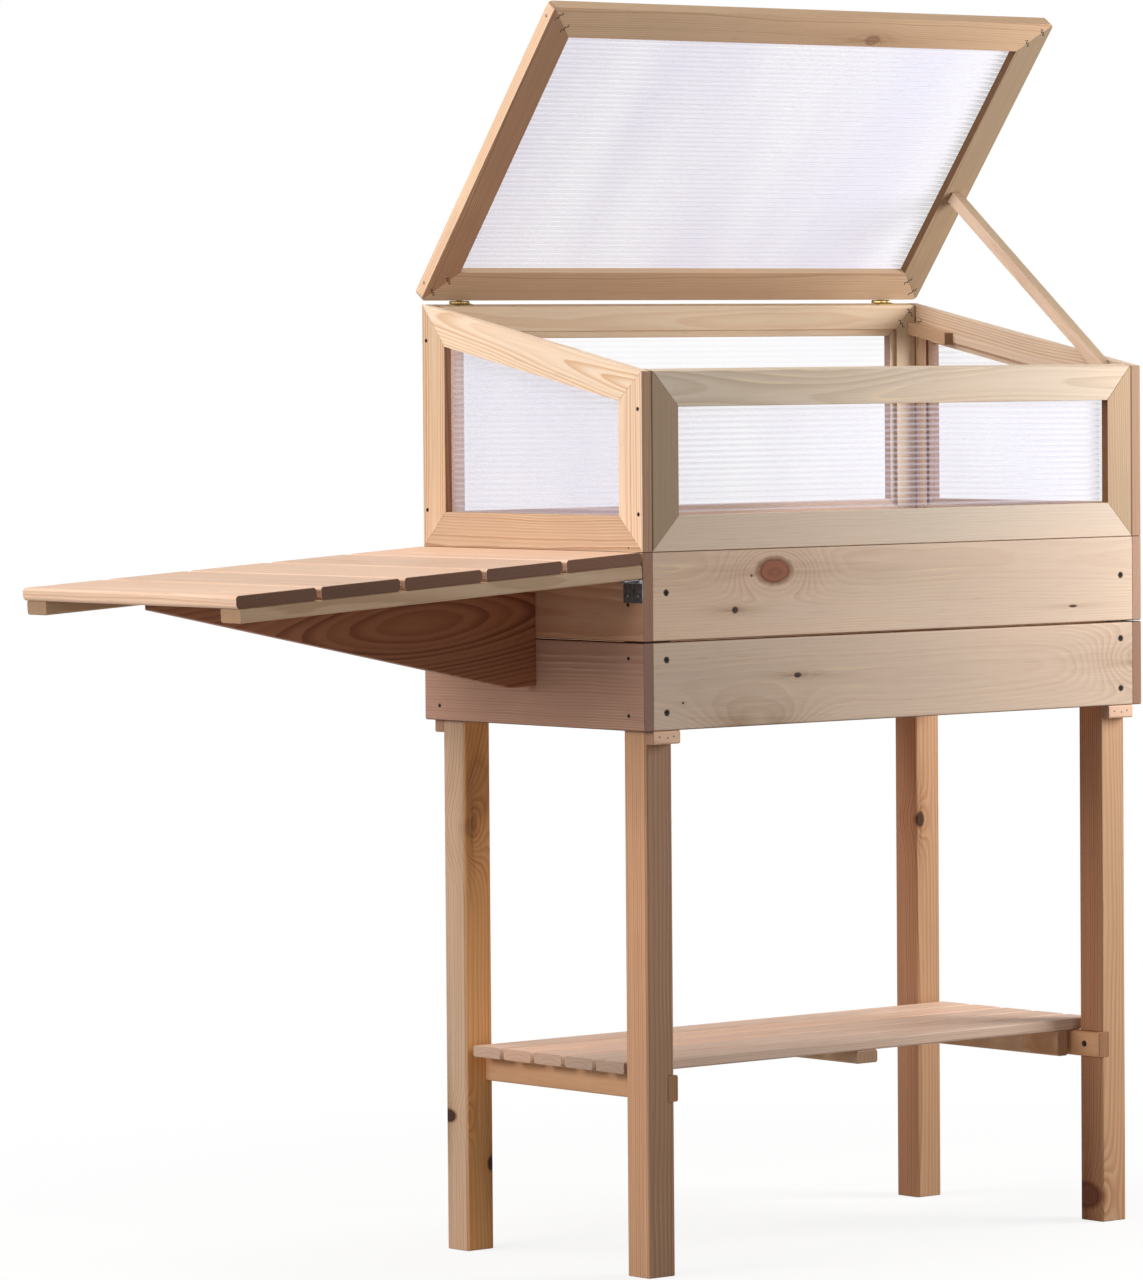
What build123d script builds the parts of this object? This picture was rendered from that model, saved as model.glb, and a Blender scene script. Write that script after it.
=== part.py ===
from build123d import *
import os
from math import atan, cos, radians, sin, sqrt, tan

os.makedirs("parts", exist_ok=True)

# A wooden raised bed on four legs with a cold frame on its rim. The lid stands open on a prop stick, a
# slatted side table hangs on the left of the bed, and a slatted shelf lies between the legs.
# Millimetres, +Z up, the origin on the floor under the middle of the bed; -Y is the front, +X the right.

# Bed box and legs
bed_width = 780.0
bed_depth = 386.0
bed_underside = 614.0
board_height = 100.0
board_thickness = 14.0
course_gap = 1.2
leg_width = 40.0
leg_depth = 38.0
leg_below_rim = 12.0
cleat_height = 15.0
plank_arris = 1.5
leg_arris = 2.5

# Bed floor
floor_batten = 20.0
floor_slat_count = 7
floor_slat_gap = 7.0
floor_slat_thickness = 14.0

# Cold frame and lid
front_rise = 201.0
rear_rise = 279.0
member_width = 40.0
pane_thickness = 4.0
pane_lap = 8.0
pane_play = 0.5
lid_length = 408.0
lid_thickness = 14.0
lid_corner_radius = 6.0
lid_side_overhang = 0.5
lid_elevation = 53.15

# Prop stick
stick = 14.0
stick_play = 0.5
stick_elevation = 39.1
pivot_from_front = 33.3
pivot_below_roof = 13.3
pivot_shank_radius = 2.0
pivot_head_radius = 4.5
pivot_head_height = 3.0
pivot_depth_in_rail = 10.0
rest_block_length = 66.0
rest_block_height = 14.5
body_gap = 0.3

# Side table and bracket
table_length = 567.0
table_slat_count = 5
table_slat_gap = 6.5
table_slat_thickness = 14.0
table_slat_arris = 2.5
table_batten_width = 35.0
table_batten_height = 16.0
table_batten_setback = 5.0
table_wall_gap = 0.6
table_droop = 3.2
bracket_thickness = 14.0
bracket_reach = 540.0
bracket_drop = 140.0
bracket_foot = 35.0
bracket_tip_height = 8.0
bracket_top_gap = 1.6
bracket_foot_gap = 0.4

# Shelf between the legs
shelf_top = 239.0
shelf_slat_count = 5
shelf_slat_gap = 6.5
shelf_leg_gap = 8.0
shelf_slat_thickness = 13.0
shelf_end_inset = 4.0
shelf_rail_thickness = 16.0
shelf_rail_height = 30.0
shelf_rail_let_in = 11.0
shelf_batten_thickness = 16.0
shelf_batten_play = 7.0
shelf_middle_batten_width = 32.0
shelf_middle_batten_height = 15.0

# Hinges: brass ones on the lid, galvanised ones on the table and its bracket
pin_play = 0.05
knuckle_play = 0.15
knuckle_clearance = 0.4
barrel_sides = 14
lid_hinge_length = 27.5
lid_hinge_barrel = 2.2
lid_hinge_pin = 1.2
lid_hinge_seat = 1.2
lid_hinge_plate = 1.0
lid_hinge_reach = 12.0
lid_hinge_behind = 2.3
lid_hinge_inset = 57.5
table_hinge_length = 32.0
table_hinge_barrel = 2.5
table_hinge_pin = 1.4
table_hinge_seat = 2.8
table_hinge_plate = 1.2
table_hinge_reach = 24.0
bracket_hinge_length = 30.0
bracket_hinge_barrel = 2.0
bracket_hinge_pin = 1.1
bracket_hinge_seat = 2.3
bracket_hinge_plate = 1.0
bracket_hinge_reach = 18.0

# Wood screws
screw_head_radius = 3.8
side_screw_head_radius = 2.4
screw_head_height = 3.0
screw_head_sides = 10
screw_shank_sides = 6
screw_shank_radius = 2.0
screw_length = 30.0
end_screw_levels = (("upper", 154.0), ("lower", 79.0), ("lower", 20.0))
side_screw_levels = (("upper", 141.0), ("lower", 81.0), ("lower", 17.0))
side_screw_shift = 7.0
frame_screw_from_edge = 42.0
rail_screw_shift = -6.4

# Levels and faces that follow from the dimensions above
rim = bed_underside + 2 * board_height
half_width = bed_width / 2
half_depth = bed_depth / 2
inner_x = half_width - board_thickness
inner_y = half_depth - board_thickness
leg_inner_x = inner_x - leg_width
leg_inner_y = inner_y - leg_depth
front_top = rim + front_rise
rear_top = rim + rear_rise
roof_slope = atan((rear_rise - front_rise) / bed_depth)
SIDES = {"left": -1, "right": 1}
ENDS = {"front": -1, "rear": 1}


def roof_height(y):
    """Height of the cold frame's sloping top edge at depth y."""
    return front_top + (y + half_depth) * tan(roof_slope)


def plank(x, y, z, along, arris=plank_arris):
    """Board between the two limits on each axis, with the arris taken off its four long edges."""
    size = [limits[1] - limits[0] for limits in (x, y, z)]
    centre = [sum(limits) / 2 for limits in (x, y, z)]
    solid = Pos(*centre) * Box(*size)
    return chamfer(solid.edges().filter_by(along), arris)


def mirrored(sign, near, far):
    """Limits of a stretch from near to far on the negative or the positive side of the middle."""
    return sorted((sign * near, sign * far))


def spread(start, width, gap, count):
    """Limits of equal strips with equal gaps, from start upwards."""
    return [(start + i * (width + gap), start + i * (width + gap) + width) for i in range(count)]


def prism(points, along):
    """Solid swept from the polygon through the points by the vector along."""
    face = Face(Wire.make_polygon([Vector(*point) for point in points]))
    return extrude(face, amount=Vector(*along).length, dir=Vector(*along).normalized())


def inset(corners, distance):
    """Corners of a counter-clockwise polygon with each side moved inwards by the distance."""
    moved = []
    for i, here in enumerate(corners):
        before = corners[i - 1]
        after = corners[(i + 1) % len(corners)]
        first = Vector(here[0] - before[0], here[1] - before[1]).normalized()
        second = Vector(after[0] - here[0], after[1] - here[1]).normalized()
        turn = first.X * second.Y - first.Y * second.X
        along = (1 - first.dot(second)) / turn * distance
        moved.append((
            here[0] - first.Y * distance - first.X * along,
            here[1] + first.X * distance - first.Y * along))
    return moved


def mitred_frame(outer, inner, place, depth, pane_depth):
    """Four mitred members and the pane in their rebate.

    outer and inner are the frame's corners, counter-clockwise in its own plane. place(u, v, w) turns a
    point of that plane at depth w into space; the members run from depth 0 to depth, and the pane's rebate
    from pane_depth to depth.
    """
    def block(corners, start, end):
        base = [place(u, v, start) for u, v in corners]
        top = place(*corners[0], end)
        return prism(base, [b - a for a, b in zip(base[0], top)])

    rebate_corners = inset(inner, -pane_lap)
    rebate = block(rebate_corners, pane_depth, depth)
    members = []
    for i in range(4):
        j = (i + 1) % 4
        members.append(block([outer[i], outer[j], inner[j], inner[i]], 0, depth) - rebate)
    pane = block(inset(rebate_corners, pane_play), pane_depth, pane_depth + pane_thickness)
    return members, pane


def turned(solid, origin, axis, angle):
    """The solid turned by the right-hand rule about an axis through origin."""
    return solid.rotate(Axis(origin, axis), angle)


class ButtHinge:
    """Sizes of a butt hinge with three knuckles, and the solids of its leaves and pin."""

    def __init__(self, length, barrel, pin, seat, plate, reach):
        self.length = length
        self.barrel = barrel
        self.pin_radius = pin
        self.seat = seat
        self.plate = plate
        self.reach = reach

    def leaf(self, centre, plate_way, seat_way, own_knuckles, play):
        """Plate with its own knuckles, and notches for the other leaf's knuckles.

        plate_way points from the barrel along the plate, seat_way from the barrel to the face that carries
        it. play is the pin's radial clearance in the knuckles.
        """
        pitch = self.length / KNUCKLES
        leaf = Pos(0, self.reach / 2, self.seat - self.plate / 2) * Box(self.length, self.reach, self.plate)
        notch_depth = self.barrel + knuckle_clearance
        for index in range(KNUCKLES):
            middle = Pos((index - (KNUCKLES - 1) / 2) * pitch, 0, 0)
            if index not in own_knuckles:
                leaf -= middle * Box(pitch + 2 * knuckle_play, 2 * notch_depth, 4 * self.seat)
        for index in own_knuckles:
            middle = Pos((index - (KNUCKLES - 1) / 2 - 0.5) * pitch + knuckle_play, 0, 0)
            outline = RegularPolygon(self.barrel, barrel_sides)
            leaf += middle * extrude(Plane.YZ * outline, amount=pitch - 2 * knuckle_play)
        leaf -= Rot(0, 90, 0) * Cylinder(self.pin_radius + play, 2 * self.length)
        plate_way, seat_way = Vector(*plate_way), Vector(*seat_way)
        return Plane(origin=centre, x_dir=plate_way.cross(seat_way), z_dir=seat_way) * leaf

    def pin(self, centre, along):
        """Pin through the barrel."""
        return Plane(origin=centre, z_dir=along) * Cylinder(self.pin_radius, self.length)


KNUCKLES = 3
FIXED_KNUCKLES = (0, 2)
MOVING_KNUCKLES = (1,)
lid_hinge = ButtHinge(
    lid_hinge_length, lid_hinge_barrel, lid_hinge_pin, lid_hinge_seat, lid_hinge_plate, lid_hinge_reach)
lid_edge_hinge = ButtHinge(
    lid_hinge_length, lid_hinge_barrel, lid_hinge_pin, lid_hinge_behind, lid_hinge_plate, lid_hinge_reach)
table_hinge = ButtHinge(
    table_hinge_length, table_hinge_barrel, table_hinge_pin, table_hinge_seat, table_hinge_plate,
    table_hinge_reach)
bracket_hinge = ButtHinge(
    bracket_hinge_length, bracket_hinge_barrel, bracket_hinge_pin, bracket_hinge_seat, bracket_hinge_plate,
    bracket_hinge_reach)
nodes = {}


# Legs, and the cleats under the boards on their outer faces
cleats = []
for end, end_sign in ENDS.items():
    for side, side_sign in SIDES.items():
        leg_x = mirrored(side_sign, leg_inner_x, inner_x)
        leg_y = mirrored(end_sign, leg_inner_y, inner_y)
        nodes[f"leg_{end}_{side}"] = plank(leg_x, leg_y, (0, rim - leg_below_rim), Axis.Z, leg_arris)
        cleat_y = mirrored(end_sign, inner_y, half_depth)
        cleats.append(plank(leg_x, cleat_y, (bed_underside - cleat_height, bed_underside), Axis.X))
nodes["leg_cleats"] = cleats

# Bed boards in two courses: the side boards cover the ends of the front and rear boards
for level, bottom in {"lower": bed_underside, "upper": bed_underside + board_height}.items():
    z = (bottom, bottom + board_height - (course_gap if level == "lower" else 0))
    for end, end_sign in ENDS.items():
        y = mirrored(end_sign, inner_y, half_depth)
        nodes[f"{end}_board_{level}"] = plank((-inner_x, inner_x), y, z, Axis.X)
    for side, side_sign in SIDES.items():
        x = mirrored(side_sign, inner_x, half_width)
        nodes[f"{side}_board_{level}"] = plank(x, (-half_depth, half_depth), z, Axis.Y)

# Bed floor: battens round the inside of the lower boards, and slats across them
floor_z = (bed_underside, bed_underside + floor_batten)
battens = []
for sign in (-1, 1):
    batten_y = mirrored(sign, inner_y - floor_batten, inner_y)
    battens.append(plank((-leg_inner_x, leg_inner_x), batten_y, floor_z, Axis.X))
    batten_x = mirrored(sign, inner_x - floor_batten, inner_x)
    battens.append(plank(batten_x, (-leg_inner_y, leg_inner_y), floor_z, Axis.Y))
nodes["bed_floor_battens"] = battens
slat_z = (floor_z[1], floor_z[1] + floor_slat_thickness)
floor_run = 2 * leg_inner_x
floor_slat_width = (floor_run - (floor_slat_count - 1) * floor_slat_gap) / floor_slat_count
floor_slats = []
for x in spread(-leg_inner_x, floor_slat_width, floor_slat_gap, floor_slat_count):
    floor_slats.append(plank(x, (-inner_y, inner_y), slat_z, Axis.Y))
for sign in (-1, 1):
    end_x = mirrored(sign, leg_inner_x + floor_slat_gap, inner_x)
    floor_slats.append(plank(end_x, (-leg_inner_y, leg_inner_y), slat_z, Axis.Y))
nodes["bed_floor_slats"] = floor_slats

# Cold frame: front and rear frames stand between the side frames, and their tops follow the roof's slope
MEMBER_NAMES = ("bottom_rail", "right_stile", "top_rail", "left_stile")
SIDE_MEMBER_NAMES = ("bottom_rail", "rear_stile", "top_rail", "front_stile")
wall_pane_depth = board_thickness - pane_thickness
above_roof = prism(
    [(-bed_width, -bed_depth, roof_height(-bed_depth)), (-bed_width, bed_depth, roof_height(bed_depth)),
     (-bed_width, bed_depth, 2 * rear_top), (-bed_width, -bed_depth, 2 * rear_top)],
    (2 * bed_width, 0, 0))


def end_frame(sign):
    """Mitred frame of the front (sign -1) or the rear (sign 1), bevelled to the roof's slope."""
    face_top = roof_height(sign * half_depth)
    full_top = max(face_top, roof_height(sign * inner_y))
    outer = [(-inner_x, rim), (inner_x, rim), (inner_x, full_top), (-inner_x, full_top)]
    side = inner_x - member_width
    low, high = rim + member_width, face_top - member_width
    inner = [(-side, low), (side, low), (side, high), (-side, high)]
    members, pane = mitred_frame(
        outer, inner, lambda u, v, w: (u, sign * (half_depth - w), v), board_thickness, wall_pane_depth)
    return [member - above_roof for member in members], pane


def side_frame(sign):
    """Mitred frame of the left (sign -1) or the right (sign 1), with its sloping top rail."""
    outer = [(-half_depth, rim), (half_depth, rim), (half_depth, rear_top), (-half_depth, front_top)]
    return mitred_frame(
        outer, inset(outer, member_width), lambda u, v, w: (sign * (half_width - w), u, v),
        board_thickness, wall_pane_depth)


for end, sign in ENDS.items():
    members, pane = end_frame(sign)
    for name, member in zip(MEMBER_NAMES, members):
        nodes[f"{end}_frame_{name}"] = member
    nodes[f"{end}_frame_pane"] = pane
for side, sign in SIDES.items():
    members, pane = side_frame(sign)
    for name, member in zip(SIDE_MEMBER_NAMES, members):
        nodes[f"{side}_frame_{name}"] = member
    nodes[f"{side}_frame_pane"] = pane

# Lid, laid out from its hinge axis: u across, v up the lid from the axis, w upwards from its underside
lid_angle = radians(lid_elevation)
lid_way = (0, -cos(lid_angle), sin(lid_angle))
lid_normal = (0, sin(lid_angle), cos(lid_angle))
roof_way = (0, -cos(roof_slope), -sin(roof_slope))
roof_normal = (0, -sin(roof_slope), cos(roof_slope))
lid_axis = (
    half_depth - lid_hinge_behind * roof_way[1] + lid_hinge_seat * roof_normal[1],
    rear_top - lid_hinge_behind * roof_way[2] + lid_hinge_seat * roof_normal[2])


def on_lid(u, v, w):
    """Point of the open lid: u across, v from the hinge axis to the free edge, w above the underside."""
    height = w + lid_hinge_seat
    y = lid_axis[0] + v * lid_way[1] + height * lid_normal[1]
    z = lid_axis[1] + v * lid_way[2] + height * lid_normal[2]
    return (u, y, z)


lid_half_width = half_width + lid_side_overhang
lid_rear = lid_hinge_behind
lid_front = lid_rear + lid_length
lid_outer = [(-lid_half_width, lid_front), (-lid_half_width, lid_rear), (lid_half_width, lid_rear),
             (lid_half_width, lid_front)]
lid_pane_depth = lid_thickness - pane_thickness - pane_play
lid_members, lid_pane = mitred_frame(
    lid_outer, inset(lid_outer, member_width), on_lid, lid_thickness, lid_pane_depth)
lid_plane = Plane(origin=on_lid(0, (lid_rear + lid_front) / 2, 0), x_dir=(1, 0, 0), z_dir=lid_normal)
lid_blank = extrude(
    lid_plane * RectangleRounded(2 * lid_half_width, lid_length, lid_corner_radius), amount=lid_thickness)
for name, member in zip(("left_stile", "rear_rail", "right_stile", "front_rail"), lid_members):
    nodes[f"lid_{name}"] = member & lid_blank
nodes["lid_pane"] = lid_pane

# Lid hinges: one leaf lies on top of the rear frame, the other on the lid's rear edge
lid_hinge_places = [(sign * (half_width - lid_hinge_inset), *lid_axis) for sign in (-1, 1)]
roof_down = tuple(-value for value in roof_normal)
nodes["lid_hinge_frame_leaves"] = [
    lid_hinge.leaf(place, roof_way, roof_down, FIXED_KNUCKLES, 0)
    for place in lid_hinge_places]
nodes["lid_hinge_lid_leaves"] = [
    lid_edge_hinge.leaf(place, lid_normal, lid_way, MOVING_KNUCKLES, pin_play)
    for place in lid_hinge_places]
nodes["lid_hinge_pins"] = [lid_hinge.pin(place, (1, 0, 0)) for place in lid_hinge_places]

# Prop stick: it reaches to just under the lid, with its foot on a screw in the right frame
stick_angle = radians(stick_elevation)
stick_x = (inner_x - stick_play - stick, inner_x - stick_play)
pivot_y = pivot_from_front - half_depth
pivot_z = roof_height(pivot_y) - pivot_below_roof
pivot_under_lid = -((pivot_y - lid_axis[0]) * lid_normal[1] + (pivot_z - lid_axis[1]) * lid_normal[2])
tip_swing = pivot_under_lid + lid_hinge_seat - 1.5 * body_gap
stick_length = sqrt(tip_swing ** 2 - (stick / 2) ** 2)
half_stick = stick / 2
stick_flat = Pos(sum(stick_x) / 2, pivot_y + stick_length / 2, pivot_z) * Box(stick, stick_length, stick)
stick_foot = Pos(sum(stick_x) / 2, pivot_y, pivot_z) * Rot(0, 90, 0) * Cylinder(half_stick, stick)
stick_bore = Pos(sum(stick_x) / 2, pivot_y, pivot_z) * Rot(0, 90, 0) * Cylinder(
    pivot_shank_radius + pin_play, 2 * stick)
stick_level = stick_flat + stick_foot - stick_bore
nodes["prop_stick"] = turned(stick_level, (0, pivot_y, pivot_z), (1, 0, 0), stick_elevation)

head_x = stick_x[0] - body_gap - pivot_head_height / 2
shank_from = stick_x[0] - body_gap
shank_to = inner_x + pivot_depth_in_rail
pivot_shank = Pos((shank_from + shank_to) / 2, pivot_y, pivot_z) * Rot(0, 90, 0) * Cylinder(
    pivot_shank_radius, shank_to - shank_from)
pivot_head = Pos(head_x, pivot_y, pivot_z) * Rot(0, 90, 0) * Cylinder(pivot_head_radius, pivot_head_height)
nodes["prop_pivot_screw"] = pivot_shank + pivot_head
nodes["right_frame_top_rail"] -= pivot_shank

# Rest block for the stowed stick: it lies under the stick's lower face, along the right top rail
rest_y = (inner_y - rest_block_length, inner_y)
rest_below_line = (half_stick + body_gap) / cos(roof_slope)
rest_tops = [pivot_z + (y - pivot_y) * tan(roof_slope) - rest_below_line for y in rest_y]
rest_depth = rest_block_height / cos(roof_slope)
nodes["prop_rest_block"] = prism(
    [(inner_x, rest_y[0], rest_tops[0]), (inner_x, rest_y[1], rest_tops[1]),
     (inner_x, rest_y[1], rest_tops[1] - rest_depth), (inner_x, rest_y[0], rest_tops[0] - rest_depth)],
    (-stick, 0, 0))

# Side table, laid out level and then let down by its droop
table_top = rim
table_under_slats = table_top - table_slat_thickness
table_under_battens = table_under_slats - table_batten_height
table_axis = (-half_width - table_hinge_seat, 0, table_under_battens - table_hinge_seat)
table_inner = -half_width - table_wall_gap
table_outer = table_inner - table_length


def let_down(solid):
    """The level side table's piece in its place on the drooping table."""
    return turned(solid, table_axis, (0, 1, 0), -table_droop)


slat_run = table_length - (table_slat_count - 1) * table_slat_gap
table_slat_width = slat_run / table_slat_count
table_strips = spread(table_outer, table_slat_width, table_slat_gap, table_slat_count)
table_slat_z = (table_under_slats, table_top)
nodes["table_slats"] = [
    let_down(plank(x, (-half_depth, half_depth), table_slat_z, Axis.Y, table_slat_arris))
    for x in table_strips]
for end, sign in ENDS.items():
    x = (table_outer + table_batten_setback, table_inner)
    y = mirrored(sign, half_depth - table_batten_width, half_depth)
    batten = plank(x, y, (table_under_battens, table_under_slats), Axis.X)
    nodes[f"table_batten_{end}"] = let_down(batten)

table_hinge_y = half_depth - table_hinge_length / 2
table_hinge_places = [(table_axis[0], sign * table_hinge_y, table_axis[2]) for sign in (-1, 1)]
nodes["table_hinge_bed_leaves"] = [
    table_hinge.leaf(place, (0, 0, -1), (1, 0, 0), FIXED_KNUCKLES, 0)
    for place in table_hinge_places]
nodes["table_hinge_table_leaves"] = [
    let_down(table_hinge.leaf(place, (-1, 0, 0), (0, 0, 1), MOVING_KNUCKLES, pin_play))
    for place in table_hinge_places]
nodes["table_hinge_pins"] = [table_hinge.pin(place, (0, 1, 0)) for place in table_hinge_places]

# Table bracket: a triangular board under the slats, hinged on its rear face so that it folds flat under them
droop = radians(table_droop)


def level_x(gap, z):
    """Level table's x of the point that lies gap off the bed's side once the table is let down."""
    below_axis = z - table_axis[2]
    return table_axis[0] + (table_hinge_seat - gap + below_axis * sin(droop)) / cos(droop)


bracket_top = table_under_slats - body_gap
bracket_bottom = table_under_slats - bracket_drop
bracket_foot_x = level_x(bracket_foot_gap, bracket_bottom)
bracket_tip_x = -half_width - bracket_reach
bracket_front = -bracket_thickness / 2
bracket_outline = [
    (level_x(bracket_top_gap, bracket_top), bracket_top), (bracket_tip_x, bracket_top),
    (bracket_tip_x, bracket_top - bracket_tip_height), (bracket_foot_x - bracket_foot, bracket_bottom),
    (bracket_foot_x, bracket_bottom)]
nodes["table_bracket"] = let_down(
    prism([(x, bracket_front, z) for x, z in bracket_outline], (0, bracket_thickness, 0)))

bracket_axis_y = bracket_thickness / 2 + bracket_hinge_seat
bracket_axis_z = table_under_slats - bracket_hinge_seat
bracket_hinge_slats = (table_strips[-1], table_strips[1])
bracket_hinge_places = [(sum(x) / 2, bracket_axis_y, bracket_axis_z) for x in bracket_hinge_slats]
nodes["bracket_hinge_table_leaves"] = [
    let_down(bracket_hinge.leaf(place, (0, 1, 0), (0, 0, 1), FIXED_KNUCKLES, 0))
    for place in bracket_hinge_places]
nodes["bracket_hinge_bracket_leaves"] = [
    let_down(bracket_hinge.leaf(place, (0, 0, -1), (0, -1, 0), MOVING_KNUCKLES, pin_play))
    for place in bracket_hinge_places]
nodes["bracket_hinge_pins"] = [
    let_down(bracket_hinge.pin(place, (1, 0, 0))) for place in bracket_hinge_places]

# Shelf: slats over rails let into the legs' inner faces, with battens that hold the slats together
shelf_under = shelf_top - shelf_slat_thickness
shelf_depth = 2 * (leg_inner_y - shelf_leg_gap)
shelf_slat_width = (shelf_depth - (shelf_slat_count - 1) * shelf_slat_gap) / shelf_slat_count
shelf_half_length = inner_x - shelf_end_inset
shelf_strips = spread(-shelf_depth / 2, shelf_slat_width, shelf_slat_gap, shelf_slat_count)
nodes["shelf_slats"] = [
    plank((-shelf_half_length, shelf_half_length), y, (shelf_under, shelf_top), Axis.X) for y in shelf_strips]
rail_z = (shelf_under - shelf_rail_height, shelf_under)
rail_outer = leg_inner_x + shelf_rail_let_in
rail_inner = rail_outer - shelf_rail_thickness
batten_outer = rail_inner - shelf_batten_play
batten_inner = batten_outer - shelf_batten_thickness
batten_y = (-shelf_depth / 2, shelf_depth / 2)
rails = {}
shelf_battens = []
for side, sign in SIDES.items():
    rails[side] = plank(mirrored(sign, rail_inner, rail_outer), (-inner_y, inner_y), rail_z, Axis.Y)
    for end in ENDS:
        nodes[f"leg_{end}_{side}"] -= rails[side]
    shelf_battens.append(plank(mirrored(sign, batten_inner, batten_outer), batten_y, rail_z, Axis.Y))
half_middle = shelf_middle_batten_width / 2
middle_z = (shelf_under - shelf_middle_batten_height, shelf_under)
shelf_battens.append(plank((-half_middle, half_middle), batten_y, middle_z, Axis.Y))
nodes["shelf_battens"] = shelf_battens


# Screws: each has a head let flush into the face and a shank through the board into what is behind it
def screw(point, way, head_radius):
    """Screw with its head flush in the face at point, driven along way."""
    head = extrude(RegularPolygon(head_radius, screw_head_sides), amount=screw_head_height)
    shank = extrude(RegularPolygon(screw_shank_radius, screw_shank_sides), amount=screw_length)
    return Plane(origin=point, z_dir=way) * (head + shank)


leg_middle_x = inner_x - leg_width / 2
leg_middle_y = inner_y - leg_depth / 2
screws = []


def drive(point, way, head_radius, held):
    """The screw driven at point, with its hole let into the held pieces."""
    driven = screw(point, way, head_radius)
    for name in held:
        nodes[name] = nodes[name] - driven
    screws.append(driven)
    return driven


for end, end_sign in ENDS.items():
    for side, side_sign in SIDES.items():
        leg = f"leg_{end}_{side}"
        for level, height in end_screw_levels:
            point = (side_sign * leg_middle_x, end_sign * half_depth, bed_underside + height)
            drive(point, (0, -end_sign, 0), screw_head_radius, (f"{end}_board_{level}", leg))
        side_y = end_sign * (leg_middle_y + side_screw_shift)
        for level, height in side_screw_levels:
            point = (side_sign * half_width, side_y, bed_underside + height)
            drive(point, (-side_sign, 0, 0), side_screw_head_radius, (f"{side}_board_{level}", leg))
        stile_y = end_sign * (half_depth - board_thickness / 2)
        for z in (rim + frame_screw_from_edge, roof_height(end_sign * half_depth) - frame_screw_from_edge):
            stiles = (f"{side}_frame_{end}_stile", f"{end}_frame_{side}_stile")
            drive((side_sign * half_width, stile_y, z), (-side_sign, 0, 0), side_screw_head_radius, stiles)
        rail_y = end_sign * (leg_middle_y + rail_screw_shift)
        rail_point = (side_sign * rail_inner, rail_y, sum(rail_z) / 2)
        rails[side] -= drive(rail_point, (side_sign, 0, 0), screw_head_radius, (leg,))
nodes["shelf_rails"] = list(rails.values())
nodes["board_screws"] = screws

for name, shape in nodes.items():
    solid = Compound(shape) if isinstance(shape, list) else shape
    export_step(solid, f"parts/{name}.step")
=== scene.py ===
from math import cos, radians, sin

import bmesh
import bpy
import numpy as np
from mathutils import Matrix, Vector


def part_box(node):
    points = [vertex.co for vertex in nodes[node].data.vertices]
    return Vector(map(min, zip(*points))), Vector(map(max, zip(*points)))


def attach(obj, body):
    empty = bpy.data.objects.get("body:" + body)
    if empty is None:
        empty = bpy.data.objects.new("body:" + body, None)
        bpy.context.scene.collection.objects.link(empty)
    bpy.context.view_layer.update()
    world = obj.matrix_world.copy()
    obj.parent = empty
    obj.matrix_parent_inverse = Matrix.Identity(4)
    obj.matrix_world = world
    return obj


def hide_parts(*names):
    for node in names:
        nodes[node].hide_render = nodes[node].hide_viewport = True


# A raised bed on legs with a cold frame, in unfinished larch, with ribbed twin-wall panes.
# Metres, +Z up, -Y the front, +X the right, the origin on the floor under the middle of the bed.
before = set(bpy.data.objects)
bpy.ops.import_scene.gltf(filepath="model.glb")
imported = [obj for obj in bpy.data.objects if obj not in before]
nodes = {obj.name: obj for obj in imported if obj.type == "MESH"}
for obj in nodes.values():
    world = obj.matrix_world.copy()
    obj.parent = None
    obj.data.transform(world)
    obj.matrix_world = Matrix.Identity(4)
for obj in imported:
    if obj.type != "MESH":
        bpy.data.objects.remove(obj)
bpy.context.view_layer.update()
scene = bpy.context.scene
scene.view_settings.view_transform = "Standard"

# Camera, at the photograph's viewing angle; the photograph's focal length and height are in pixels
CAMERA_PLACE = Vector((-5.2940, -5.8671, 1.0424))
CAMERA_YAW = radians(-40.226)
CAMERA_PITCH = radians(2.483)
CAMERA_ROLL = radians(-0.455)
CAMERA_SENSOR = 36.0
PHOTO_FOCAL, PHOTO_HEIGHT = 6754.71, 1280
CAMERA_LENS = PHOTO_FOCAL * CAMERA_SENSOR / PHOTO_HEIGHT
CAMERA_REACH = 100

# Directions of the pieces that are neither level nor upright
ROOF_SLOPE = radians(11.424)
LID_ELEVATION = radians(53.15)
STICK_ELEVATION = radians(39.1)
TABLE_DROOP = radians(3.2)
X, Y, Z = Vector((1, 0, 0)), Vector((0, 1, 0)), Vector((0, 0, 1))
ROOF_WAY = Vector((0, cos(ROOF_SLOPE), sin(ROOF_SLOPE)))
ROOF_UP = Vector((0, -sin(ROOF_SLOPE), cos(ROOF_SLOPE)))
LID_WAY = Vector((0, -cos(LID_ELEVATION), sin(LID_ELEVATION)))
LID_UNDER = Vector((0, -sin(LID_ELEVATION), -cos(LID_ELEVATION)))
STICK_WAY = Vector((0, cos(STICK_ELEVATION), sin(STICK_ELEVATION)))
TABLE_WAY = Vector((cos(TABLE_DROOP), 0, sin(TABLE_DROOP)))
TABLE_UP = Vector((-sin(TABLE_DROOP), 0, cos(TABLE_DROOP)))


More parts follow.
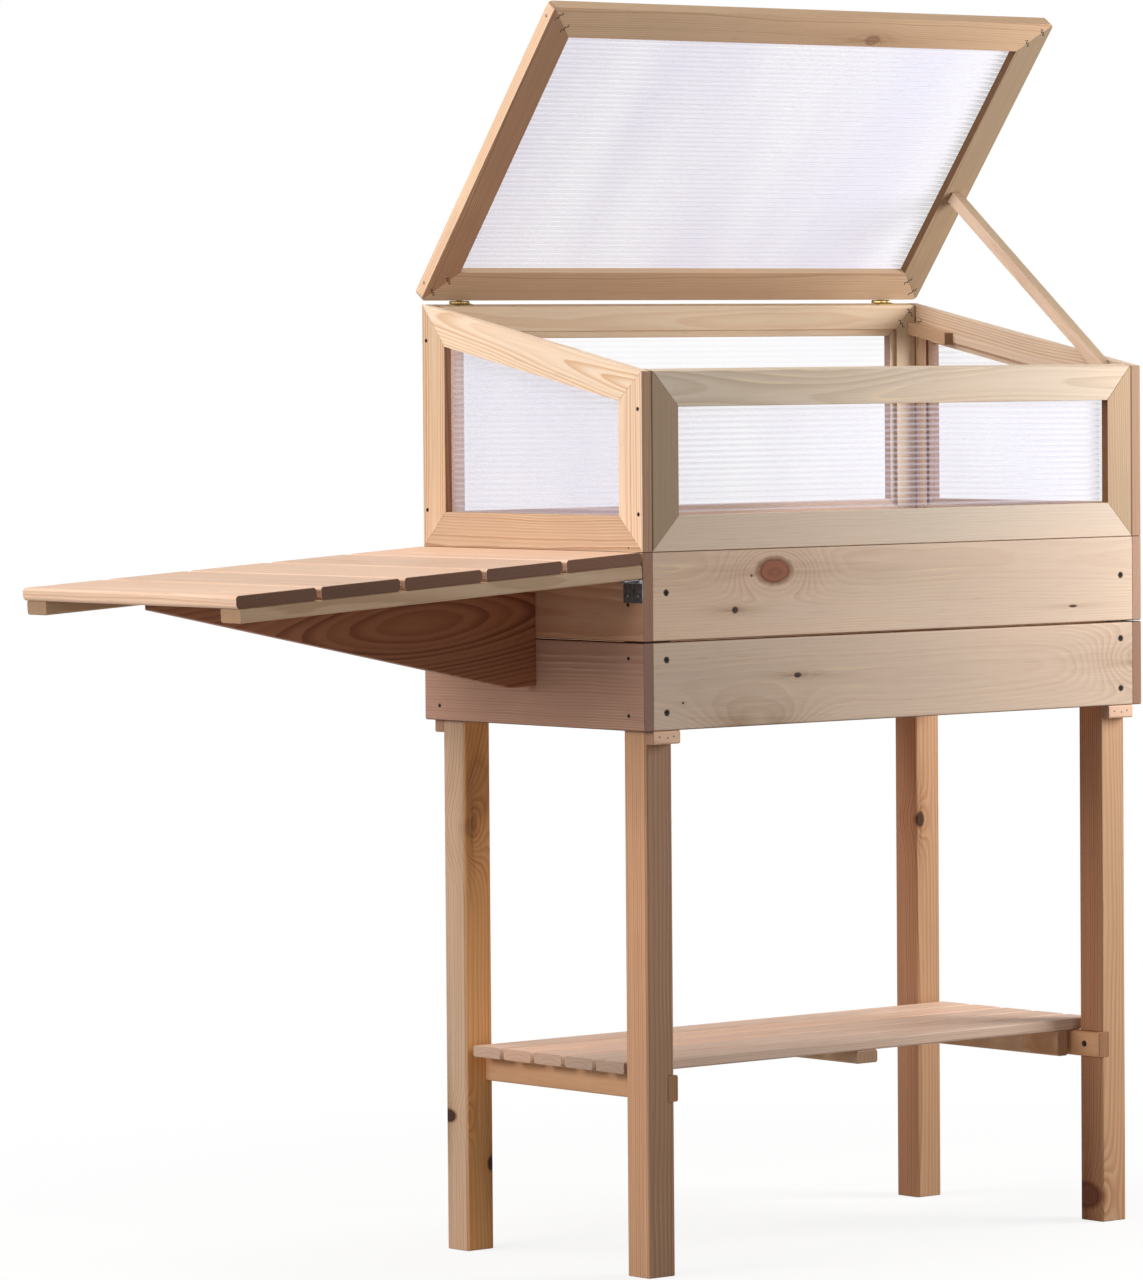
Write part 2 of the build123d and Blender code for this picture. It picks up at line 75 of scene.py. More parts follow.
def place_camera():
    """Camera whose axes come from its yaw, its downward pitch and its roll."""
    ahead = Vector((
        -sin(CAMERA_YAW) * cos(CAMERA_PITCH), cos(CAMERA_YAW) * cos(CAMERA_PITCH), -sin(CAMERA_PITCH)))
    level = Vector((cos(CAMERA_YAW), sin(CAMERA_YAW), 0))
    upright = level.cross(ahead)
    right = level * cos(CAMERA_ROLL) + upright * sin(CAMERA_ROLL)
    up = upright * cos(CAMERA_ROLL) - level * sin(CAMERA_ROLL)
    data = bpy.data.cameras.new("camera")
    data.sensor_width = CAMERA_SENSOR
    data.lens = CAMERA_LENS
    data.clip_end = CAMERA_REACH
    camera = bpy.data.objects.new("camera", data)
    turn = Matrix((right, up, -ahead)).transposed()
    camera.matrix_world = Matrix.Translation(CAMERA_PLACE) @ turn.to_4x4()
    scene.collection.objects.link(camera)
    scene.camera = camera


place_camera()


def srgb(red, green, blue):
    """Linear colour of a screen colour with parts from 0 to 255."""
    parts = np.array((red, green, blue)) / 255
    linear = np.where(parts <= 0.04045, parts / 12.92, ((parts + 0.055) / 1.055) ** 2.4)
    return (*linear.tolist(), 1.0)


# Sockets of the Mix node: its factor and its two sides, for colours and for values, and the results
COLOUR_MIX, COLOUR_MIXED = (0, 6, 7), 2
VALUE_MIX, VALUE_MIXED = (0, 2, 3), 0


class Wiring:
    """Makes the nodes of one material or group and links them as they are made."""

    def __init__(self, tree):
        self.tree = tree

    def put(self, value, socket):
        """Link an output to the socket, or set the socket's own value."""
        if isinstance(value, bpy.types.NodeSocket):
            self.tree.links.new(value, socket)
        else:
            socket.default_value = value

    def node(self, kind, *values, **settings):
        """New node with its settings, its first sockets fed with the values."""
        made = self.tree.nodes.new(kind)
        for name, value in settings.items():
            setattr(made, name, value)
        for value, socket in zip(values, made.inputs):
            self.put(value, socket)
        return made

    def group(self, tree, values):
        """New group node with its inputs, by name."""
        made = self.node("ShaderNodeGroup", node_tree=tree)
        for name, value in values.items():
            self.put(value, made.inputs[name])
        return made

    def math(self, operation, *values):
        return self.node("ShaderNodeMath", *values, operation=operation).outputs[0]

    def times(self, first, second):
        return self.math("MULTIPLY", first, second)

    def plus(self, first, second):
        return self.math("ADD", first, second)

    def minus(self, first, second):
        return self.math("SUBTRACT", first, second)

    def vector(self, operation, *values):
        made = self.node("ShaderNodeVectorMath", *values, operation=operation)
        return made.outputs["Value" if operation in ("DOT_PRODUCT", "LENGTH") else "Vector"]

    def parts(self, vector):
        return self.node("ShaderNodeSeparateXYZ", vector).outputs

    def joined(self, x, y, z):
        return self.node("ShaderNodeCombineXYZ", x, y, z).outputs[0]

    def noise(self, vector, scale, detail=2.0, rough=0.5, output="Fac"):
        made = self.node("ShaderNodeTexNoise")
        self.put(vector, made.inputs["Vector"])
        self.put(scale, made.inputs["Scale"])
        self.put(detail, made.inputs["Detail"])
        self.put(rough, made.inputs["Roughness"])
        return made.outputs[output]

    def random(self, value):
        """Random value from 0 to 1, the same for the same value."""
        made = self.node("ShaderNodeTexWhiteNoise", noise_dimensions="1D")
        self.put(value, made.inputs["W"])
        return made.outputs["Value"]

    def ramp(self, value, low, high, from_value=0.0, to_value=1.0):
        """Smooth step of the value from low to high."""
        values = value, low, high, from_value, to_value
        return self.node("ShaderNodeMapRange", *values, interpolation_type="SMOOTHSTEP").outputs[0]

    def mix(self, factor, first, second, blend="MIX"):
        """Colour between two colours, or the two blended."""
        made = self.node("ShaderNodeMix", data_type="RGBA", blend_type=blend)
        for value, socket in zip((factor, first, second), COLOUR_MIX):
            self.put(value, made.inputs[socket])
        return made.outputs[COLOUR_MIXED]

    def between(self, factor, first, second):
        """Value between two values."""
        made = self.node("ShaderNodeMix", data_type="FLOAT")
        for value, socket in zip((factor, first, second), VALUE_MIX):
            self.put(value, made.inputs[socket])
        return made.outputs[VALUE_MIXED]

    def bump(self, height, distance, strength):
        made = self.node("ShaderNodeBump")
        made.inputs["Strength"].default_value = strength
        made.inputs["Distance"].default_value = distance
        self.put(height, made.inputs["Height"])
        return made.outputs[0]


SOCKET_KINDS = {1: "Float", 3: "Vector", 4: "Color"}


def node_group(name, inputs, outputs):
    """Empty shader group with named sockets: its wiring, its inputs by name and its output node.

    inputs are named defaults: a value, a vector of three or a colour of four.
    """
    tree = bpy.data.node_groups.new(name, "ShaderNodeTree")
    for label, default in inputs.items():
        kind = SOCKET_KINDS[np.size(default)]
        socket = tree.interface.new_socket(label, in_out="INPUT", socket_type=f"NodeSocket{kind}")
        socket.default_value = default
    for label, kind in outputs.items():
        tree.interface.new_socket(label, in_out="OUTPUT", socket_type=f"NodeSocket{kind}")
    wires = Wiring(tree)
    given = wires.node("NodeGroupInput").outputs
    made = wires.node("NodeGroupOutput").inputs
    return wires, given, made


def new_material(name):
    """Material, its wiring and its shader."""
    material = bpy.data.materials.new(name)
    material.use_nodes = True
    return material, Wiring(material.node_tree), material.node_tree.nodes["Principled BSDF"]


def coat(w, group, shader, relief, strength):
    """Feed a shader with its group's colour, roughness and relief."""
    w.put(group.outputs["Colour"], shader.inputs["Base Color"])
    w.put(group.outputs["Roughness"], shader.inputs["Roughness"])
    w.put(w.bump(group.outputs["Height"], relief, strength), shader.inputs["Normal"])


def dress(piece, material):
    """Give a piece its one material."""
    piece.data.materials.clear()
    piece.data.materials.append(material)


# Larch: how often each layer of the figure changes in a metre, along a board, across it and out of its face.
# Those of flecks and flames multiply those of the fibres and of the slow drift.
DRIFT_SCALE = 1.7, 6.0, 6.0
WOBBLE_SCALE = 9.0, 55.0, 55.0
FIBRE_SCALE = 14.0, 620.0, 620.0
FLECK_SCALE = 2.2, 0.8, 0.8
FLAME_SCALE = 5.0, 2.5, 2.5
WOBBLE_REACH = 0.0022
# How far apart the boards of a row, and the seeds, lie in the noise
ROW_STEP, SEED_STEPS = 3.7, (1.37, 0.71)
# Shares of a ring in which late wood comes and goes and a pale flame lies; rings differ in strength
LATE_COMES, LATE_GOES, FLAME_GOES = (0.15, 0.88), (0.88, 1.0), (0.0, 0.30)
RING_LEAST, RING_SPREAD = 0.3, 0.7
# Changes of tone: of fibres, of the slow drift and of flecks
FIBRE_TONE, DRIFT_TONE, FLECK_TONE = 0.22, 0.3, 0.10
# Colours, and what ends, joints and knots do to the colour of the wood; the dark of joints is painted shade,
# and that of ends is end grain with painted shade in the mitre lines
FLAME_COLOUR = srgb(238, 216, 176)
BLUSH_TINT = 1.03, 0.95, 0.90
END_TINT = 0.22, 0.13, 0.09
JOINT_SHADE_TINT = 0.26, 0.19, 0.14
SMEAR_TINT = 0.40, 0.28, 0.16
RIM_TINT = 0.50, 0.38, 0.30
KNOT_PALE, KNOT_LATE, KNOT_BLACK = srgb(150, 90, 60), srgb(106, 56, 34), srgb(34, 20, 12)
KNOT_PARTS = "Push", "Core", "Rim", "Smear", "Black"


def larch_group():
    """Growth rings of a log round its heart, cut by the board.

    A point's distance from the heart, which wanders slowly along the board, counts the rings: each is pale at
    its start, darkens to its late wood and ends sharply. Knots push the rings outwards. Fine fibres run along
    the board, each board of a row has its own tone, and cut ends are darker: end grain, with painted shade in
    the mitre lines. Joints along the long edges take painted shade, and the narrow faces take painted light
    and painted shade.
    """
    w, given, made = node_group("larch", {
        "Board": (0, 0, 0), "Seed": 0, "Heart": (0, 0, -0.05), "Ring Width": 0.003, "Wander": 0.02,
        "Row Pitch": 0, "Row Tone": 0.2, **{f"Knot {part}": 0 for part in KNOT_PARTS}, "End": 0, "Seam": 0,
        "Edge": 0, "Low Face Light": (1, 1, 1), "High Face Light": (1, 1, 1), "Figure": 0.7, "Flame": 0.3,
        "Pale": (1, 1, 1, 1), "Late": (1, 1, 1, 1),
    }, {"Colour": "Color", "Roughness": "Float", "Height": "Float"})
    x, y, z = w.parts(given["Board"])
    row = w.math("FLOOR", w.plus(w.math("DIVIDE", y, given["Row Pitch"]), 0.5))
    across = w.minus(y, w.times(row, given["Row Pitch"]))
    key = w.plus(given["Seed"], w.times(row, ROW_STEP))
    shift = w.joined(*(w.times(key, step) for step in SEED_STEPS), key)
    point = w.joined(x, across, z)
    drift_point = w.vector("ADD", shift, w.vector("MULTIPLY", point, DRIFT_SCALE))
    drift_x, drift_y, drift_z = w.parts(w.noise(drift_point, 1.0, 2.0, 0.45, "Color"))
    _, heart_y, heart_z = w.parts(given["Heart"])
    off_y = w.plus(w.minus(across, heart_y), w.times(w.minus(drift_x, 0.5), given["Wander"]))
    off_z = w.plus(w.minus(z, heart_z), w.times(w.minus(drift_y, 0.5), given["Wander"]))
    wobble_point = w.vector("ADD", shift, w.vector("MULTIPLY", point, WOBBLE_SCALE))
    wobble = w.times(w.minus(w.noise(wobble_point, 1.0, 2.0), 0.5), WOBBLE_REACH)
    away = w.vector("LENGTH", w.joined(off_y, off_z, 0.0))
    away = w.plus(w.plus(away, wobble), given["Knot Push"])
    count = w.math("DIVIDE", away, given["Ring Width"])
    part = w.math("FRACT", count)
    late = w.times(w.ramp(part, *LATE_COMES), w.ramp(part, *LATE_GOES, 1.0, 0.0))
    strength = w.times(w.random(w.math("FLOOR", count)), RING_SPREAD)
    late = w.times(late, w.plus(strength, RING_LEAST))
    fibre_point = w.vector("ADD", shift, w.vector("MULTIPLY", point, FIBRE_SCALE))
    fibre = w.noise(fibre_point, 1.0, 3.0, 0.6)
    fleck_point = w.vector("MULTIPLY", fibre_point, FLECK_SCALE)
    fleck = w.ramp(w.noise(fleck_point, 1.0, 1.0), 0.66, 0.76)
    bent = w.ramp(w.math("ABSOLUTE", given["Knot Push"]), 0.001, 0.012, 0.0, 0.35)
    figure = w.times(late, w.plus(given["Figure"], bent))
    colour = w.mix(figure, given["Pale"], given["Late"])
    patch = w.ramp(w.noise(w.vector("MULTIPLY", drift_point, FLAME_SCALE), 1.0), 0.50, 0.66)
    flame = w.times(w.ramp(part, *FLAME_GOES, 1.0, 0.0), patch)
    colour = w.mix(w.times(flame, given["Flame"]), colour, FLAME_COLOUR)
    level = w.plus(w.times(w.minus(fibre, 0.5), FIBRE_TONE), 1.0)
    level = w.plus(level, w.times(w.minus(drift_z, 0.5), DRIFT_TONE))
    row_tone = w.times(w.minus(w.random(key), 0.5), given["Row Tone"])
    level = w.plus(level, row_tone)
    level = w.minus(level, w.times(fleck, FLECK_TONE))
    colour = w.vector("SCALE", colour, (0, 0, 0), (0, 0, 0), level)
    blush = w.ramp(w.plus(drift_z, w.times(row_tone, 1.5)), 0.35, 0.75)
    colour = w.mix(blush, colour, w.vector("MULTIPLY", colour, BLUSH_TINT))
    # Painted light and shade: the two narrow faces take their own tones
    high_face_light = w.vector("MULTIPLY", colour, given["High Face Light"])
    low_face_light = w.vector("MULTIPLY", colour, given["Low Face Light"])
    colour = w.mix(w.ramp(given["Edge"], 0.55, 0.85), colour, high_face_light)
    colour = w.mix(w.ramp(given["Edge"], -0.85, -0.55, 1.0, 0.0), colour, low_face_light)
    # Cut ends: darker end grain, with painted shade in the mitre lines
    colour = w.mix(given["End"], colour, w.vector("MULTIPLY", colour, END_TINT))
    # Painted shade in the joints along the long edges
    colour = w.mix(given["Seam"], colour, w.vector("MULTIPLY", colour, JOINT_SHADE_TINT))
    colour = w.mix(given["Knot Smear"], colour, w.vector("MULTIPLY", colour, SMEAR_TINT))
    knot = w.mix(w.times(late, 0.8), KNOT_PALE, KNOT_LATE)
    colour = w.mix(given["Knot Core"], colour, knot)
    colour = w.mix(given["Knot Rim"], colour, w.vector("MULTIPLY", colour, RIM_TINT))
    colour = w.mix(given["Knot Black"], colour, KNOT_BLACK)
    w.put(colour, made["Colour"])
    gloss = w.plus(w.times(fibre, 0.16), 0.52)
    w.put(w.minus(gloss, w.times(late, 0.08)), made["Roughness"])
    height = w.plus(w.times(fibre, 0.55), w.times(late, 0.30))
    w.put(w.minus(height, w.times(given["Knot Rim"], 0.6)), made["Height"])
    return w.tree


# Knots, in radii: how fast the push on the rings fades, the ragged edge of the core, where the
# core and its rim start and stop, and how the smear thins out. Small knots are black.
PUSH_FADE = 0.22, 0.50
RAGGED_SCALE, RAGGED_REACH = 1.6, 0.26
CORE_STOPS, RIM_STARTS, RIM_STOPS = (0.84, 1.00), (0.70, 0.95), (0.98, 1.35)
BLACK_SIZES = 0.005, 0.012
SMEAR_FADE, SMEAR_ALONG, SMEAR_ACROSS = -1.3, 0.12, 0.62


def knot_group():
    """Knot on a board: rings pushed out in a long oval round its centre, a dark core and a darker rim.

    The core is an ellipsoid Stretch times longer along the board than across it, with a ragged edge; a brown
    smear runs out of it along the grain.
    """
    w, given, made = node_group("knot", {
        "Board": (0, 0, 0), "Centre": (0, 0, 0), "Size": 0.01, "Swirl": 2.0, "Stretch": 1.5, "Dark": 1.0,
        "Trail": 1.0}, {part: "Float" for part in KNOT_PARTS})
    offsets = w.parts(w.vector("SUBTRACT", given["Board"], given["Centre"]))
    x, y, z = (w.math("DIVIDE", offset, given["Size"]) for offset in offsets)
    fade_x, fade_y = (w.times(offset, fade) for offset, fade in zip((x, y), PUSH_FADE))
    oval = w.vector("LENGTH", w.joined(fade_x, fade_y, 0.0))
    fade = w.math("EXPONENT", w.times(w.times(oval, oval), -1.0))
    w.put(w.times(w.times(fade, given["Swirl"]), given["Size"]), made["Push"])
    ragged = w.minus(w.noise(w.joined(x, y, z), RAGGED_SCALE, 2.0), 0.5)
    ragged = w.times(ragged, RAGGED_REACH)
    flat = w.joined(w.math("DIVIDE", x, given["Stretch"]), y, w.times(z, 0.4))
    near = w.plus(w.vector("LENGTH", flat), ragged)
    core = w.times(w.ramp(near, *CORE_STOPS, 1.0, 0.0), given["Dark"])
    w.put(core, made["Core"])
    w.put(w.times(core, w.ramp(given["Size"], *BLACK_SIZES, 1.0, 0.0)), made["Black"])
    rim = w.times(w.ramp(near, *RIM_STARTS), w.ramp(near, *RIM_STOPS, 1.0, 0.0))
    w.put(w.times(rim, given["Dark"]), made["Rim"])
    run = w.times(x, SMEAR_ALONG)
    streak = w.noise(w.joined(run, w.times(y, 2.2), z), 1.0, 2.0)
    trail = w.joined(w.math("DIVIDE", run, given["Stretch"]), w.times(y, SMEAR_ACROSS), z)
    smear = w.math("EXPONENT", w.times(w.vector("LENGTH", trail), SMEAR_FADE))
    smear = w.times(smear, w.ramp(streak, 0.25, 0.65, 0.35, 1.0))
    w.put(w.times(smear, given["Trail"]), made["Smear"])
    return w.tree


LARCH = larch_group()
KNOT = knot_group()


def board_place(w, middle, along, across, out):
    """Texture coordinates, and a point's place on a board: along it, across it and out of its face."""
    place = w.node("ShaderNodeTexCoord")
    board = w.node("ShaderNodeMapping", vector_type="TEXTURE")
    w.put(place.outputs["Object"], board.inputs["Vector"])
    board.inputs["Location"].default_value = middle
    board.inputs["Rotation"].default_value = Matrix((along, across, out)).transposed().to_euler()
    return place, board.outputs[0]


# How far a face turns to the grain's way before it is a cut end, whose dark also paints shade on the eased
# edges of the mitres, and how much of a joint's painted shade is full
END_FACING, SEAM_FULL = (0.28, 0.50), 0.3
WOOD_RELIEF, WOOD_GLOSS = 0.00025, 0.18


def larch(name, along, face, wood, seed, heart=(0.0, -0.05), ring=0.0024, wander=0.02, figure=0.7, rows=0.0,
          row_tone=0.2, flame=0.3, seam=(0.0, 0.0), end=0.55, edges=None, relief=0.6, knots=()):
    """Larch on a node: grain along one way, face the way its best face looks.

    wood is a pale and a late colour. heart is where the log's heart lies from the board's middle, across and
    out of its face; rows is the pitch of a row of slats; seam is how far the painted shade of a joint reaches
    in from each long edge; end is how dark the cut ends are, darker end grain with painted shade in the mitre
    lines; edges are the tones of the two narrow faces, painted light where a face is lit and painted shade
    where it is shaded; relief is how deep the grain is. Each knot is along, across, out, size, swirl,
    stretch, dark and trail, from the board's middle.
    """
    low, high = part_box(name)
    middle = (low + high) / 2
    along = Vector(along).normalized()
    across = Vector(face).cross(along).normalized()
    out = along.cross(across)
    material, w, shader = new_material(f"larch_{name}")
    place, board = board_place(w, middle, along, across, out)
    group = w.group(LARCH, {
        "Board": board, "Seed": seed, "Heart": (0.0, *heart), "Ring Width": ring, "Wander": wander,
        "Row Pitch": rows, "Row Tone": row_tone, "Figure": figure, "Flame": flame, "Pale": wood[0],
        "Late": wood[1]})
    facing = w.math("ABSOLUTE", w.vector("DOT_PRODUCT", place.outputs["Normal"], along))
    w.put(w.ramp(facing, *END_FACING, 0.0, end), group.inputs["End"])
    # Painted shade reaching in from each long edge, where parts meet
    if any(seam):
        half = max(abs(across.dot(corner - middle)) for corner in (low, high))
        low_seam, high_seam = (
            w.ramp(w.times(w.parts(board)[1], sign), half - reach, half - SEAM_FULL * reach)
            if reach else 0.0 for sign, reach in zip((-1, 1), seam))
        w.put(w.math("MAXIMUM", low_seam, high_seam), group.inputs["Seam"])
    # Painted light on a lit narrow face, painted shade on a shaded one
    if edges:
        w.put(w.vector("DOT_PRODUCT", place.outputs["Normal"], across), group.inputs["Edge"])
        group.inputs["Low Face Light"].default_value, group.inputs["High Face Light"].default_value = edges
    totals = {}
    for *centre, size, swirl, stretch, dark, trail in knots:
        made = w.group(KNOT, {"Board": board, "Centre": centre, "Size": size, "Swirl": swirl,
                              "Stretch": stretch, "Dark": dark, "Trail": trail})
        for label in KNOT_PARTS:
            value = made.outputs[label]
            joining = "ADD" if label == "Push" else "MAXIMUM"
            totals[label] = w.math(joining, totals[label], value) if label in totals else value
    for label, value in totals.items():
        w.put(value, group.inputs[f"Knot {label}"])
    coat(w, group, shader, WOOD_RELIEF, relief)
    shader.inputs["Specular IOR Level"].default_value = WOOD_GLOSS
    dress(nodes[name], material)


EASED_WIDTH, EASED_STEPS, EASED_ANGLE = 0.0009, 2, radians(25)
WELD_REACH = 0.00001


def eased(piece):
    """Round the sharp edges of a solid node with live modifiers; its own mesh stays as it is."""
    weld = piece.modifiers.new("joined", "WELD")
    weld.merge_threshold = WELD_REACH
    bevel = piece.modifiers.new("eased", "BEVEL")
    bevel.width = EASED_WIDTH
    bevel.segments = EASED_STEPS
    bevel.limit_method = "ANGLE"
    bevel.angle_limit = EASED_ANGLE


# Wood colours: pale early wood and darker late wood
STRAW = srgb(222, 198, 176), srgb(198, 162, 134)
SAND = srgb(216, 196, 175), srgb(190, 160, 134)
DUN = srgb(218, 202, 182), srgb(184, 161, 132)
OAT = srgb(215, 199, 181), srgb(192, 163, 139)
OLIVE = srgb(198, 172, 144), srgb(166, 134, 102)
MOSS = srgb(166, 144, 118), srgb(138, 112, 84)
PEACH = srgb(220, 190, 160), srgb(202, 150, 106)
WHEAT = srgb(186, 163, 140), srgb(150, 110, 76)
BLUSH = srgb(222, 190, 166), srgb(192, 146, 114)
ROSE = srgb(202, 160, 132), srgb(166, 112, 82)
MAUVE = srgb(174, 142, 126), srgb(142, 101, 80)
TAN = srgb(206, 166, 130), srgb(168, 114, 70)
RUSSET = srgb(168, 116, 86), srgb(116, 66, 44)
UMBER = srgb(174, 138, 110), srgb(140, 100, 72)
HONEY = srgb(236, 180, 120), srgb(198, 133, 74)
CREAM = srgb(235, 214, 191), srgb(203, 154, 108)
AMBER = srgb(218, 189, 160), srgb(184, 131, 90)
BLOND = srgb(230, 203, 178), srgb(194, 142, 102)
SHELL = srgb(232, 204, 184), srgb(204, 162, 134)
IVORY = srgb(238, 216, 186), srgb(220, 184, 144)
FAWN = srgb(180, 154, 124), srgb(150, 118, 86)
# Tones of narrow faces beside the face's own: painted light on faces that the lamps light, painted shade on
# faces in shade
SAME = (1, 1, 1)
# Painted light on lit faces: paler, paler still on the lid's outer edge, and greyer
LIT_FACE_PAINT = (1.75, 1.70, 1.65)
LIT_EDGE_PAINT = (1.95, 2.30, 2.60)
LIT_GREY_FACE_PAINT = (0.775, 1.01, 1.74)
# Painted shade on the left faces of the right legs, which lie in the bed's shadow
SHADED_FACE_PAINT = (0.82, 0.68, 0.66)
# Painted shade on the inner reveals of stiles
SHADED_REVEAL_PAINT = (0.46, 0.32, 0.25)
# Painted shade on the front edges of the side frames
SHADED_EDGE_PAINT = (0.58, 0.48, 0.40)
# Painted shade on the prop stick's upper narrow face, which faces away from the lamps
SHADED_TOP_PAINT = (0.62, 0.61, 0.55)

# Legs: corner, wood, tones of the narrow faces, painted light on lit left faces and painted shade on shaded
# ones, and knots
LEGS = (
    ("front_left", UMBER, (SAME, LIT_FACE_PAINT), ()),
    ("front_right", TAN, (SAME, SHADED_FACE_PAINT), ((-0.371, 0.020, -0.008, 0.009, 1.5, 1.6, 1.0, 1.0),)),
    ("rear_left", HONEY, (SAME, LIT_GREY_FACE_PAINT), (
        (0.134, -0.002, 0.019, 0.016, 0.8, 2.2, 0.26, 0.2),
        (0.089, 0.010, 0.019, 0.009, 2.6, 1.2, 0.25, 0.9),
        (-0.302, -0.017, 0.019, 0.006, 2.0, 1.4, 1.0, 1.0),
        (-0.246, 0.020, -0.013, 0.005, 2.0, 1.5, 0.9, 0.9))),
    ("rear_right", TAN, (SAME, SHADED_FACE_PAINT), ((0.062, 0.013, 0.019, 0.006, 2.0, 1.6, 0.9, 0.9),)))
for number, (corner, wood, edges, knots) in enumerate(LEGS):
    larch(f"leg_{corner}", Z, -Y, wood, 11.3 + 5 * number, heart=(0.035, -0.04), ring=0.0030, wander=0.014,
          figure=0.8, flame=0.15, edges=edges, knots=knots)

# Bed boards, with painted shade in the joint along both edges
SEAM = 0.0013, 0.0013
FRONT_UPPER_KNOTS = (
    (-0.1938, 0.0242, 0.007, 0.0142, 2.0, 1.72, 1.0, 0.55),
    (-0.2535, -0.0183, 0.007, 0.0036, 2.0, 1.2, 1.0, 1.0),
    (0.2775, -0.0302, 0.007, 0.0016, 1.5, 3.8, 0.9, 0.6),
    (-0.2283, 0.0197, 0.007, 0.0016, 1.0, 1.0, 0.7, 0.8))
FRONT_LOWER_KNOTS = (
    (-0.1592, 0.0056, 0.007, 0.0028, 2.0, 1.8, 1.0, 1.0),
    (-0.252, -0.054, 0.007, 0.019, -0.8, 0.26, 0.0, 1.0),
    (-0.194, -0.053, 0.007, 0.015, -0.8, 0.26, 0.0, 0.9),
    (0.390, 0.003, 0.007, 0.018, 1.7, 0.8, 0.2, 0.6),
    (-0.3322, -0.0193, 0.007, 0.0014, 1.0, 1.0, 1.0, 0.4))
for number, (end, face, upper_knots, lower_knots) in enumerate((
        ("front", -Y, FRONT_UPPER_KNOTS, FRONT_LOWER_KNOTS), ("rear", Y, (), ()))):
    larch(f"{end}_board_upper", X, face, STRAW, 31.7 + 9 * number, heart=(0.03, -0.06), ring=0.0022,
          wander=0.016, figure=0.32, flame=0.60, seam=SEAM, knots=upper_knots)
    larch(f"{end}_board_lower", X, face, STRAW, 47.1 + 9 * number, heart=(0.0, -0.05), ring=0.0024,
          wander=0.014, figure=0.34, flame=0.55, seam=SEAM, knots=lower_knots)
for number, (side, face, upper, lower) in enumerate((("left", -X, ROSE, MAUVE), ("right", X, BLUSH, ROSE))):
    larch(f"{side}_board_upper", Y, face, upper, 63.9 + 9 * number, heart=(0.02, -0.09), ring=0.0024,
          wander=0.012, seam=SEAM)
    larch(f"{side}_board_lower", Y, face, lower, 79.2 + 9 * number, heart=(-0.05, -0.08), ring=0.0021,
          wander=0.012, figure=0.5, seam=SEAM)
FLOOR_PITCH = 0.09843
larch("bed_floor_battens", X, Z, STRAW, 91.4)
larch("bed_floor_slats", Y, Z, PEACH, 97.8, rows=FLOOR_PITCH, row_tone=0.25)
larch("leg_cleats", X, -Y, BLUSH, 103.6)

# Cold frame, with painted shade along the mitres on the stiles of its front and rear
JOINT = 0.0030
for number, (end, face, rails, stiles) in enumerate((
        ("front", -Y, (OAT, DUN), (MOSS, FAWN)), ("rear", Y, (STRAW, IVORY), (IVORY, IVORY)))):
    start = 121.3 + 40 * number
    # Painted shade on the right stile's inner reveal
    shaded_reveal = (SHADED_REVEAL_PAINT, SAME) if end == "rear" else (SAME, SHADED_REVEAL_PAINT)
    joints = ((0, JOINT), (JOINT, 0)) if end == "front" else ((JOINT, 0), (0, JOINT))
    larch(f"{end}_frame_bottom_rail", X, face, rails[0], start, heart=(0.05, -0.05), ring=0.0020, figure=0.30,
          flame=0.15)
    larch(f"{end}_frame_top_rail", X, face, rails[1], start + 14, heart=(0.0, -0.016), ring=0.0044,
          wander=0.05, figure=0.6, flame=0.8)
    larch(f"{end}_frame_left_stile", Z, face, stiles[0], start + 21, heart=(-0.04, -0.05), ring=0.0020,
          figure=0.5, seam=joints[0])
    larch(f"{end}_frame_right_stile", Z, face, stiles[1], start + 7, heart=(0.04, -0.05), ring=0.0020,
          figure=0.5, seam=joints[1], edges=shaded_reveal)
for number, (side, face) in enumerate({"left": -X, "right": X}.items()):
    start = 211.9 + 40 * number
    # Painted shade on the rear stile's inner reveal
    shaded_reveal = (SHADED_REVEAL_PAINT, SAME) if side == "left" else (SAME, SHADED_REVEAL_PAINT)
    # Painted shade on the side frame's front edge
    shaded_front_edge = (SHADED_EDGE_PAINT, SAME) if side == "left" else (SAME, SHADED_EDGE_PAINT)
    larch(f"{side}_frame_bottom_rail", Y, face, WHEAT, start, heart=(0.03, -0.03), ring=0.0024, figure=0.7)
    larch(f"{side}_frame_rear_stile", Z, face, AMBER, start + 7, heart=(0.0, -0.010), ring=0.0032,
          wander=0.045, figure=0.9, edges=shaded_reveal)
    larch(f"{side}_frame_top_rail", ROOF_WAY, face, CREAM, start + 14, heart=(-0.012, -0.012), ring=0.0036,
          wander=0.055, figure=0.75, flame=0.5)
    larch(f"{side}_frame_front_stile", Z, face, BLOND, start + 21, heart=(0.02, -0.03), ring=0.0026,
          figure=0.7, edges=shaded_front_edge)

# Lid, prop stick and its rest
LID_KNOTS = ((0.1114, -0.012, 0.007, 0.007, 3.4, 1.6, 0.30, 0.7),)
# The lid's left stile has painted light on its outer edge, which the left lamp lights, and its right stile
# has painted shade on its inner reveal
LID_MEMBERS = (
    ("left_stile", LID_WAY, UMBER, (SAME, LIT_EDGE_PAINT), ()), ("rear_rail", X, OLIVE, None, ()),
    ("right_stile", LID_WAY, MOSS, (SAME, SHADED_REVEAL_PAINT), ()), ("front_rail", X, OLIVE, None, LID_KNOTS))
for number, (member, along, wood, edges, knots) in enumerate(LID_MEMBERS):
    larch(f"lid_{member}", along, LID_UNDER, wood, 307.3 + 7 * number, heart=(0.03, -0.03), ring=0.0020,
          wander=0.016, figure=0.7, edges=edges, knots=knots)
